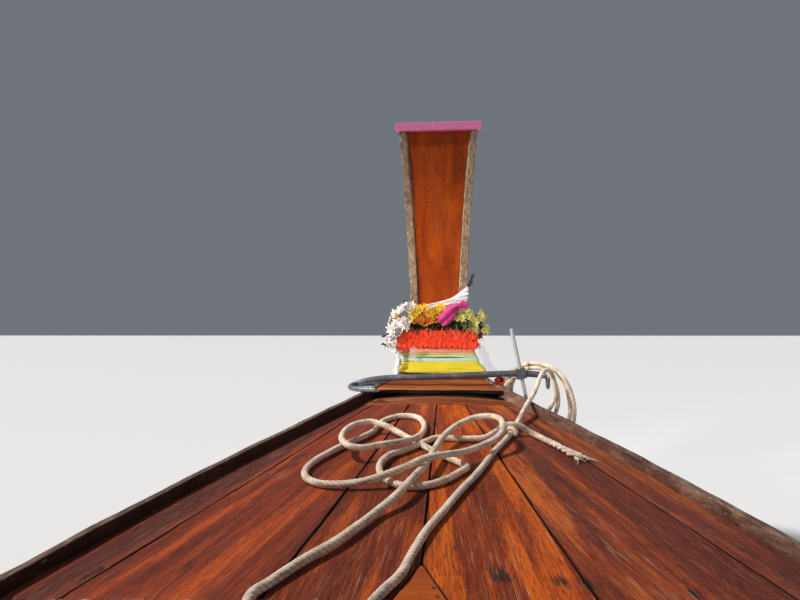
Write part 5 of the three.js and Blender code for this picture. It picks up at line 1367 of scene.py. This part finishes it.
# From the deck over the rail, then the four turns that hang there and up to the hitch: x, y, z in millimetres
OVER_RAIL = [
    (340, 3868, 800), (362, 3933, 818), (389, 4000, 838), (405, 4035, 853), (423, 4070, 880), (441, 4105, 912),
    (460, 4136, 934), (480, 4160, 941), (498, 4177, 932), (512, 4187, 907), (520, 4190, 867), (519, 4191, 830),
    (513, 4197, 800), (500, 4210, 769), (477, 4234, 737), (442, 4269, 716), (402, 4311, 719), (368, 4348, 751),
    (349, 4371, 800), (349, 4376, 852), (368, 4358, 901), (398, 4331, 931), (435, 4297, 943), (471, 4264, 942),
    (500, 4237, 923), (519, 4220, 891), (531, 4209, 850), (535, 4205, 812), (532, 4208, 774), (517, 4225, 728),
    (485, 4259, 682), (438, 4308, 658), (385, 4362, 675), (346, 4404, 730), (331, 4421, 800), (339, 4414, 863),
    (365, 4390, 913), (406, 4352, 946), (451, 4311, 959), (495, 4270, 952), (533, 4235, 929), (558, 4212, 896),
    (573, 4198, 858), (581, 4191, 816), (584, 4188, 773), (580, 4192, 723), (561, 4208, 664), (525, 4239, 612),
    (471, 4282, 585), (408, 4335, 598), (356, 4378, 649), (323, 4403, 720), (311, 4411, 796), (316, 4406, 861),
    (343, 4382, 913), (381, 4346, 944), (413, 4317, 959), (445, 4288, 965), (481, 4255, 959), (516, 4222, 946),
    (545, 4195, 921), (567, 4175, 885), (582, 4161, 844), (591, 4153, 803), (594, 4150, 761), (590, 4154, 719),
    (575, 4168, 658), (543, 4197, 598), (495, 4238, 556), (437, 4284, 548), (378, 4331, 575), (329, 4367, 631),
    (299, 4390, 703), (294, 4376, 776), (305, 4342, 831), (321, 4302, 869), (336, 4262, 892)]
LOOSE_END = [(292, 3657, 26), (333, 3654, 6), (378, 3590, 0), (409, 3537, 0), (420, 3516, 0)]
FRAYED_END = [(388, 3573, 0), (409, 3537, 0), (430, 3494, 0), (447, 3451, 0), (462, 3424, 0)]


def laid(points, radius):
    """Points on the deck in millimetres as metres, lifted to lie on its surface."""
    p = np.array(points, float) / 1000
    return np.stack([p[:, 0], p[:, 1], deck_z(p[:, 0], p[:, 1]) + radius + 0.001 + p[:, 2]], axis=1)


def on_deck(path, radius):
    """The path with what lies over the deck lifted clear of it."""
    over = (path[:, 1] > DECK_AFT + 0.004) & (np.abs(path[:, 0]) < deck_half(path[:, 1]) - 0.02)
    floor = deck_z(path[:, 0], path[:, 1]) + radius + 0.001
    path[:, 2] = np.where(over, np.maximum(path[:, 2], floor), path[:, 2])
    return path


def braided(path, radius, pick, around=24, taper=0.0):
    """A laid rope: the radius swells over each of four strands that wind round it, pick being one round, and
    shrinks over the last stretch, taper. Gives the shape and how deep each point lies between strands."""
    length = run_of(path)[:, None]
    angle = np.linspace(0, 2 * np.pi, around, endpoint=False)[None, :]
    high = np.abs(np.cos(2 * angle + 2 * np.pi * length / pick))
    radii = radius * (0.92 + 0.11 * high)
    radii = radii * (1 + 0.02 * ripples(path, 0.09, 51))[:, None]
    if taper:
        radii = radii * (1 - 0.5 * np.clip((length - length[-1] + taper) / taper, 0, 1) ** 2)
    return tube(path, radii, around), 1 - high


class BOAT_OT_ropes(bpy.types.Operator):
    """Lays the bow line and the anchor line on the foredeck, with their knot, hanging coil and frayed end"""
    bl_idname = "boat.ropes"
    bl_label = "Ropes"

    def execute(self, context):
        sizes = context.scene.boat_ropes
        radius = sizes.diameter / 2
        finish = fibre("Old braided rope")
        edge_z = float(deck_z(0.0, DECK_AFT)) + ROPE / 2
        cleat_z = edge_z - ROPE / 2 - DECK_CAMBER - DECK_PLANK - 0.05 + 0.022
        bow_aft = [(-0.262, 2.466, cleat_z), (-0.290, 2.484, cleat_z + 0.03), (-0.318, 2.516, edge_z - 0.016),
                   (-0.324, 2.548, edge_z - 0.001)]
        bow = np.concatenate([bow_aft, laid(BOW_LINE + LOOSE_END, radius)])
        bow = on_deck(curve(bow, ROPE_STEP), radius)
        shape, hollow = braided(bow, radius, sizes.pick, taper=0.03)
        bow_line = make("bow_line", shape, finish, smooth=180, values={"hollow": hollow})

        anchor_aft = [(-0.138, 2.466, cleat_z), (-0.124, 2.484, cleat_z + 0.03), (-0.108, 2.516, edge_z - 0.006),
                      (-0.098, 2.546, edge_z)]
        thin = 0.94 * radius
        line = np.concatenate([anchor_aft, laid(ANCHOR_LINE, thin), np.array(OVER_RAIL) / 1000])
        line = on_deck(curve(line, ROPE_STEP), thin)[::-1].copy()
        shape, hollow = braided(line, thin, sizes.pick)
        anchor_line = make("anchor_line", shape, finish, smooth=180, values={"hollow": hollow})
        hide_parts("rope_anchor_line", "rope_hanging_coil")
        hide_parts("rope_bow_line")
        knot = self.knot(line, thin, finish, sizes.pick)
        tail = self.frayed(finish)
        return {"FINISHED"}

    @staticmethod
    def knot(line, radius, finish, pick):
        """The bow line's hitch on the anchor line: wraps of a helix round it, pressed against the deck."""
        nearest = int(np.argmin(np.linalg.norm(line - (0.270, 3.664, 0.74), axis=1)))
        tangent, side, up = (rows[nearest] for rows in frames(line))
        t = np.linspace(0, 1, 130)
        angle = 2 * np.pi * 2.2 * t + 2.6
        reach = 0.036 * (t - 0.5)
        wraps = (line[nearest] + reach[:, None] * tangent
                 + 1.75 * radius * (np.cos(angle)[:, None] * side + np.sin(angle)[:, None] * up))
        wraps[:, 2] = np.maximum(wraps[:, 2], deck_z(wraps[:, 0], wraps[:, 1]) + radius * 0.8)
        shape, hollow = braided(wraps, radius * 0.8, pick)
        return make("rope_knot", shape, finish, smooth=180, values={"hollow": hollow})

    @staticmethod
    def frayed(finish):
        """The bow line's unlaid end: three strands that part, then loose yarns that fan out at the tip."""
        spine = on_deck(curve(laid(FRAYED_END, 0.008), 0.004), 0.008)
        tangent, side, up = frames(spine)
        t = np.linspace(0, 1, len(spine))
        parts, hollow = [], []
        rng = np.random.default_rng(31)
        for k in range(3):
            swing = 2 * np.pi * (k / 3 + 3.2 * t * (1 - 0.4 * t))
            part = 0.0055 + 0.012 * t**1.5
            path = (spine + part[:, None] * (np.cos(swing)[:, None] * side + 0.5 * np.sin(swing)[:, None] * up))
            path = on_deck(resample(path, 0.004), 0.005)
            shape, deep = braided(path, 0.0056, 0.014, 10)
            parts.append(shape)
            hollow.append(deep.ravel())
            for _ in range(7):
                root = path[-1 - rng.integers(0, 8)]
                way = unit(tangent[-1] + rng.normal(0, 0.45, 3) * (1, 1, 0.25))
                reach = rng.uniform(0.02, 0.05)
                tip = root + reach * way + rng.normal(0, 0.004, 3)
                yarn = curve([root, root + 0.5 * reach * way + (0, 0, 0.003), tip], 0.006)
                yarn[:, 2] = np.maximum(yarn[:, 2], deck_z(yarn[:, 0], yarn[:, 1]) + 0.002)
                parts.append(tube(yarn, 0.0011, 5))
                hollow.append(np.full(len(parts[-1][0]), 0.3))
        piece = make("rope_frayed_strands", join(parts), finish, smooth=180,
                     values={"hollow": np.concatenate(hollow)})
        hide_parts("rope_frayed_end")
        return piece


class BOAT_OT_hull(bpy.types.Operator):
    """Finishes the planking, keel, ribs, floors, benches and beams"""
    bl_idname = "boat.hull"
    bl_label = "Hull"

    def execute(self, context):
        outside = varnished("Stained planking", 0x4A2115, 0x74331C, 0x9A5228, run="y", gloss=0.4, orange=0.2)
        inside = varnished("Oiled teak inside", 0x5A2E1B, 0x85492A, 0xAE6E3C, run="y", shift=5.0, orange=0.3)
        benches = varnished("Oiled teak benches", 0x63341F, 0x90522E, 0xBC7C45, run="x", shift=8.0, gloss=0.4,
                            orange=0.4)
        dark = varnished("Dark oiled teak", 0x2F170E, 0x4F2718, 0x6E3C22, run="y", shift=3.0, gloss=0.5)
        across = varnished("Dark oiled beams", 0x2F170E, 0x4F2718, 0x6E3C22, run="x", shift=6.0, gloss=0.5)
        for _, word in BOTH_SIDES:
            for strake in ("bottom", "side", "sheer"):
                softened(f"plank_{strake}_{word}", outside)
            softened(f"ribs_{word}", inside, bevel=0.004)
        for node in ("sole", "aft_deck", "floor_timbers"):
            softened(node, inside)
        for k in range(1, 5):
            softened(f"thwart_{k}", benches, bevel=0.005, cut=0.12, worn=0.0008)
        pitch = varnished("Seam pitch", 0x0C0908, 0x16100D, 0x241A14, run="y", shine=0.1)
        for _, word in BOTH_SIDES:
            for lower, upper in (("bottom", "side"), ("side", "sheer")):
                seam = self.caulk(f"plank_{lower}_{word}", f"plank_{upper}_{word}")
                make(f"caulk_{upper}_{word}", seam, pitch)
        softened("keel", dark, bevel=0.004)
        softened("transom", across, bevel=0.004)
        for node in ("deck_beam", "stern_beam"):
            softened(node, across, bevel=0.004)
        softened("rope_cleat", metal("Worn cleat", 0x6A6E70, rust=0.3, rough=0.35), bevel=0.002)
        return {"FINISHED"}

    @staticmethod
    def caulk(lower, upper):
        """The pitch in the seam between two strakes: from each edge point of one to the nearest of the other."""
        below, above = (np.unique(np.round([tuple(v.co) for v in frame["nodes"][name].data.vertices], 5), axis=0)
                        for name in (lower, upper))
        away = np.linalg.norm(below[:, None] - above[None], axis=-1)
        near = away.argmin(axis=1)
        found = {}
        for point, k, gap in zip(below, near, away.min(axis=1)):
            if gap < 0.012:
                found.setdefault(round(point[1], 3), []).append((abs(point[0]), tuple(point), tuple(above[k])))
        rows = []
        for _, pair in sorted(found.items()):
            if len(pair) == 2:
                low_in, high_in, low_out, high_out = (np.array(end) for _, *ends in sorted(pair) for end in ends)
                rows.append([low_out * 0.88 + low_in * 0.12, high_out * 0.88 + high_in * 0.12,
                             high_in * 0.9 + high_out * 0.1, low_in * 0.9 + low_out * 0.1])
        return loft(np.array(rows))


# The canopy's half width, the height of its edges and of its crown, and half its length
CANOPY_HALF, CANOPY_EDGE, CANOPY_CROWN, CANOPY_END = 0.88, 1.69, 1.80, 2.42


def arch(x):
    """The height of the canopy's hoops: it falls from the crown with the square of x."""
    return CANOPY_EDGE + (CANOPY_CROWN - CANOPY_EDGE) * (1 - (x / CANOPY_HALF) ** 2)


class BOAT_OT_canopy(bpy.types.Operator):
    """Stretches the canvas canopy over its hoops"""
    bl_idname = "boat.canopy"
    bl_label = "Canopy"

    def execute(self, context):
        sizes = context.scene.boat_canopy
        wood = varnished("Canopy timber", 0x41210F, 0x66381F, 0x8C5A30, run="z", shift=2.0)
        for k in range(1, 5):
            softened(f"canopy_hoop_{k}", wood, bevel=0.004)
        canvas = woven("Canopy canvas", 0xD8D2C0, 0xA79F88, threads=700.0, fade=0.4, crease=0.5)
        x = np.linspace(-CANOPY_HALF, CANOPY_HALF, 90)
        y = np.linspace(-CANOPY_END, CANOPY_END, 200)
        hoops = np.array([-CANOPY_END, -2.2, -0.7, 0.8, 2.3, CANOPY_END])
        k = np.clip(np.searchsorted(hoops, y) - 1, 0, 4)
        between = (y - hoops[k]) / (hoops[k + 1] - hoops[k])
        hang = np.sin(np.pi * between) * np.clip((hoops[k + 1] - hoops[k]) / 1.5, 0, 1)
        z = arch(x) + 0.008 - sizes.sag * hang[:, None] * (0.4 + 0.6 * np.cos(np.pi * x / CANOPY_HALF / 2))
        points = np.stack(np.broadcast_arrays(x, y[:, None], z), axis=-1)
        uv = points[..., [1, 0]]
        points[..., 2] += 0.0012 * ripples(points, 0.4, 17)
        roof = make("canopy_canvas", grid(points, uv=uv), canvas, smooth=180, thick=sizes.cloth,
                    closed=False)
        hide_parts("canopy_roof")
        self.frame(wood, canvas)
        return {"FINISHED"}

    @staticmethod
    def frame(wood, canvas):
        """Battens along the canopy's edges, purlins under the cloth, and a hem rope on the rims."""
        battens = [box((side * CANOPY_HALF - 0.013 - side * 0.013, -CANOPY_END, CANOPY_EDGE - 0.030),
                       (side * CANOPY_HALF + 0.013 - side * 0.013, CANOPY_END, CANOPY_EDGE + 0.004))
                   for side in (-1, 1)]
        make("canopy_side_battens", join(battens), wood, bevel=0.004)
        purlins = []
        for x in (-0.6, -0.3, 0.0, 0.3, 0.6):
            y, z = CANOPY_END - 0.01, arch(x) - 0.013
            purlins.append(box((x - 0.014, -y, z - 0.016), (x + 0.014, y, z + 0.004)))
        make("canopy_purlins", join(purlins), wood, bevel=0.003)
        x, y = (np.linspace(-reach, reach, 60) for reach in (CANOPY_HALF, CANOPY_END))
        rims = [(x, end, arch(x) + 0.004) for end in (-CANOPY_END, CANOPY_END)]
        rims += [(side * CANOPY_HALF, y, CANOPY_EDGE + 0.006) for side in (-1, 1)]
        hems = [tube(np.stack(np.broadcast_arrays(*rim), axis=1), 0.007) for rim in rims]
        make("canopy_hem", join(hems), canvas, smooth=180)


class BOAT_OT_engine(bpy.types.Operator):
    """Finishes the engine on its swivel, the long tail tube, the tiller and the propeller"""
    bl_idname = "boat.engine"
    bl_label = "Engine and tail"

    def execute(self, context):
        frame_paint = painted("Grey frame paint", 0x59646B, under=0x6A3A22, fade=0x8A9296)
        iron = metal("Engine iron", 0x3F4A52, rust=0.45, rough=0.5, metallic=0.6, worn=0x77828A)
        hot = metal("Heated pipe", 0x5A4A40, rust=0.9, rough=0.55, worn=0x8A6A50)
        drum = painted("Black drum paint", 0x1E2022, under=0x7A7D80, fade=0x4A4C50, rough=0.35, size=50)
        steel = metal("Worn tail steel", 0x6E7478, rust=0.5, rough=0.38)
        bronze = metal("Cast bronze", 0xA67C3A, rust=0.0, rough=0.3, metallic=0.95, worn=0xD9B66A,
                       grime=0x3A3420)
        for node, finish, slot in (
                ("engine_post", frame_paint, "steel"), ("swivel_yoke", frame_paint, "steel"),
                ("engine_cradle", frame_paint, "steel"), ("engine_block", iron, "engine_iron"),
                ("engine_exhaust", hot, "steel"), ("engine_air_cleaner", drum, "steel"),
                ("tail_tube", steel, "steel"), ("tiller", steel, "steel"), ("propeller", bronze, "bronze")):
            softened(node, finish, bevel=0.002, smooth=30)
        return {"FINISHED"}


# The camera's place, its turn in degrees, and the distance from the boat to the floor's edges
CAMERA_PLACE, CAMERA_TURN = (0.028, 1.46, 1.10), (93.24, 0, 4.19)
FLOOR_REACH = 400.0


class BOAT_OT_stage(bpy.types.Operator):
    """Sets the pale floor at the waterline, the soft lights and the camera behind the foredeck"""
    bl_idname = "boat.stage"
    bl_label = "Stage"

    def execute(self, context):
        sizes = context.scene.boat_stage
        floor = bpy.data.meshes.new("floor")
        floor.from_pydata(*self.ground())
        pale = Finish("Pale floor").done(0xEDEEF0, 0.9)
        floor.materials.append(pale)
        ground = bpy.data.objects.new("floor", floor)
        context.scene.collection.objects.link(ground)

        world = bpy.data.worlds.new("Pale surroundings")
        world.use_nodes = True
        background = world.node_tree.nodes["Background"]
        background.inputs[0].default_value = (0.80, 0.88, 1.0, 1.0)
        background.inputs[1].default_value = sizes.sky
        context.scene.world = world
        context.scene.view_settings.view_transform = "Standard"

        self.light("key", "SUN", (-9.5, 2.3, 12.5), (0, 2.8, 0.8), sizes.key, (1.0, 0.95, 0.88),
                   angle=math.radians(5))
        self.light("bow", "SPOT", (-3.0, 1.2, 2.1), (0, 4.35, 1.12), sizes.bow, (1.0, 0.94, 0.85),
                   spot_size=math.radians(26), spot_blend=1.0, shadow_soft_size=0.2)
        self.light("fill", "AREA", (6.0, -10.0, 9.5), (0, 1.0, 0.8), sizes.fill, (0.9, 0.95, 1.0), size=7.0)

        camera = bpy.data.cameras.new("camera")
        camera.sensor_width, camera.lens = 36.0, sizes.lens
        camera.clip_end = 2000.0
        seat = bpy.data.objects.new("camera", camera)
        context.scene.collection.objects.link(seat)
        seat.location = CAMERA_PLACE
        seat.rotation_euler = [math.radians(turn) for turn in CAMERA_TURN]
        context.scene.camera = seat
        return {"FINISHED"}

    @staticmethod
    def ground():
        """A wide floor round the hull: its inner edge runs inside the planks, its outer edge is a far square."""
        stations = np.concatenate([np.linspace(-5.015, 2.5, 24), np.linspace(2.7, 3.6, 19)])
        shell = [frame["nodes"][f"plank_{strake}_starboard"] for strake in ("bottom", "side", "sheer")]
        shell += [frame["nodes"]["stem"], frame["nodes"]["keel"]]
        half = []
        for y in stations:
            hits = [node.ray_cast((2.0, float(max(y, -4.99)), 0.0), (-1.0, 0.0, 0.0)) for node in shell]
            half.append(max([hit[1][0] for hit in hits if hit[0]], default=0.0))
        half = np.array(half)
        stations, half = stations[half > 0.014], half[half > 0.014] - 0.012
        inner = np.concatenate([np.stack([half, stations], axis=1), np.stack([-half, stations], axis=1)[::-1]])
        spoke = unit(inner - (0.0, -1.0))
        outer = FLOOR_REACH * spoke / np.abs(spoke).max(axis=1, keepdims=True)
        points = np.concatenate([inner, outer])
        n = len(inner)
        faces = [[k, k + n, (k + 1) % n + n, (k + 1) % n] for k in range(n)]
        return [(x, y, 0.0) for x, y in points.tolist()], [], faces

    @staticmethod
    def light(name, kind, place, aim, power, colour, **settings):
        """A light at a place, turned to face a point."""
        lamp = bpy.data.lights.new(name, kind)
        lamp.energy, lamp.color = power, colour
        for key, value in settings.items():
            setattr(lamp, key, value)
        holder = bpy.data.objects.new(name, lamp)
        bpy.context.scene.collection.objects.link(holder)
        away = np.array(place) - np.array(aim)
        flat = math.hypot(away[0], away[1])
        holder.location = place
        holder.rotation_euler = (math.atan2(flat, away[2]), 0, math.atan2(away[1], away[0]) + math.pi / 2)


OPERATORS = (BOAT_OT_stage, BOAT_OT_ropes, BOAT_OT_foredeck, BOAT_OT_gunwales, BOAT_OT_prow, BOAT_OT_anchor,
             BOAT_OT_sashes, BOAT_OT_garland, BOAT_OT_scarves, BOAT_OT_flowers, BOAT_OT_hull, BOAT_OT_canopy,
             BOAT_OT_engine)
GROUPS = (("boat_deck", DeckSizes), ("boat_dressing", DressingSizes), ("boat_ropes", RopeSizes),
          ("boat_canopy", CanopySizes), ("boat_stage", StageSizes))


class BOAT_PT_panel(bpy.types.Panel):
    """Lists the sizes and the steps that dress the boat"""
    bl_idname = "BOAT_PT_panel"
    bl_label = "Longtail Boat"
    bl_space_type = "VIEW_3D"
    bl_region_type = "UI"
    bl_category = "Longtail Boat"

    def draw(self, context):
        for name, group in GROUPS:
            column = self.layout.column(align=True)
            for key in group.__annotations__:
                column.prop(getattr(context.scene, name), key)
        for operator in OPERATORS:
            self.layout.operator(operator.bl_idname)


def register():
    for name, group in GROUPS:
        bpy.utils.register_class(group)
        setattr(bpy.types.Scene, name, PointerProperty(type=group))
    for made in (*OPERATORS, BOAT_PT_panel):
        bpy.utils.register_class(made)


def unregister():
    for made in reversed((*OPERATORS, BOAT_PT_panel)):
        bpy.utils.unregister_class(made)
    for name, group in reversed(GROUPS):
        delattr(bpy.types.Scene, name)
        bpy.utils.unregister_class(group)


def main():
    register()
    for operator in OPERATORS:
        step = operator.bl_idname.split(".")[1]
        if getattr(bpy.ops.boat, step)() != {"FINISHED"}:
            raise RuntimeError(f"{operator.bl_label} didn't finish")


if __name__ == "__main__":
    main()
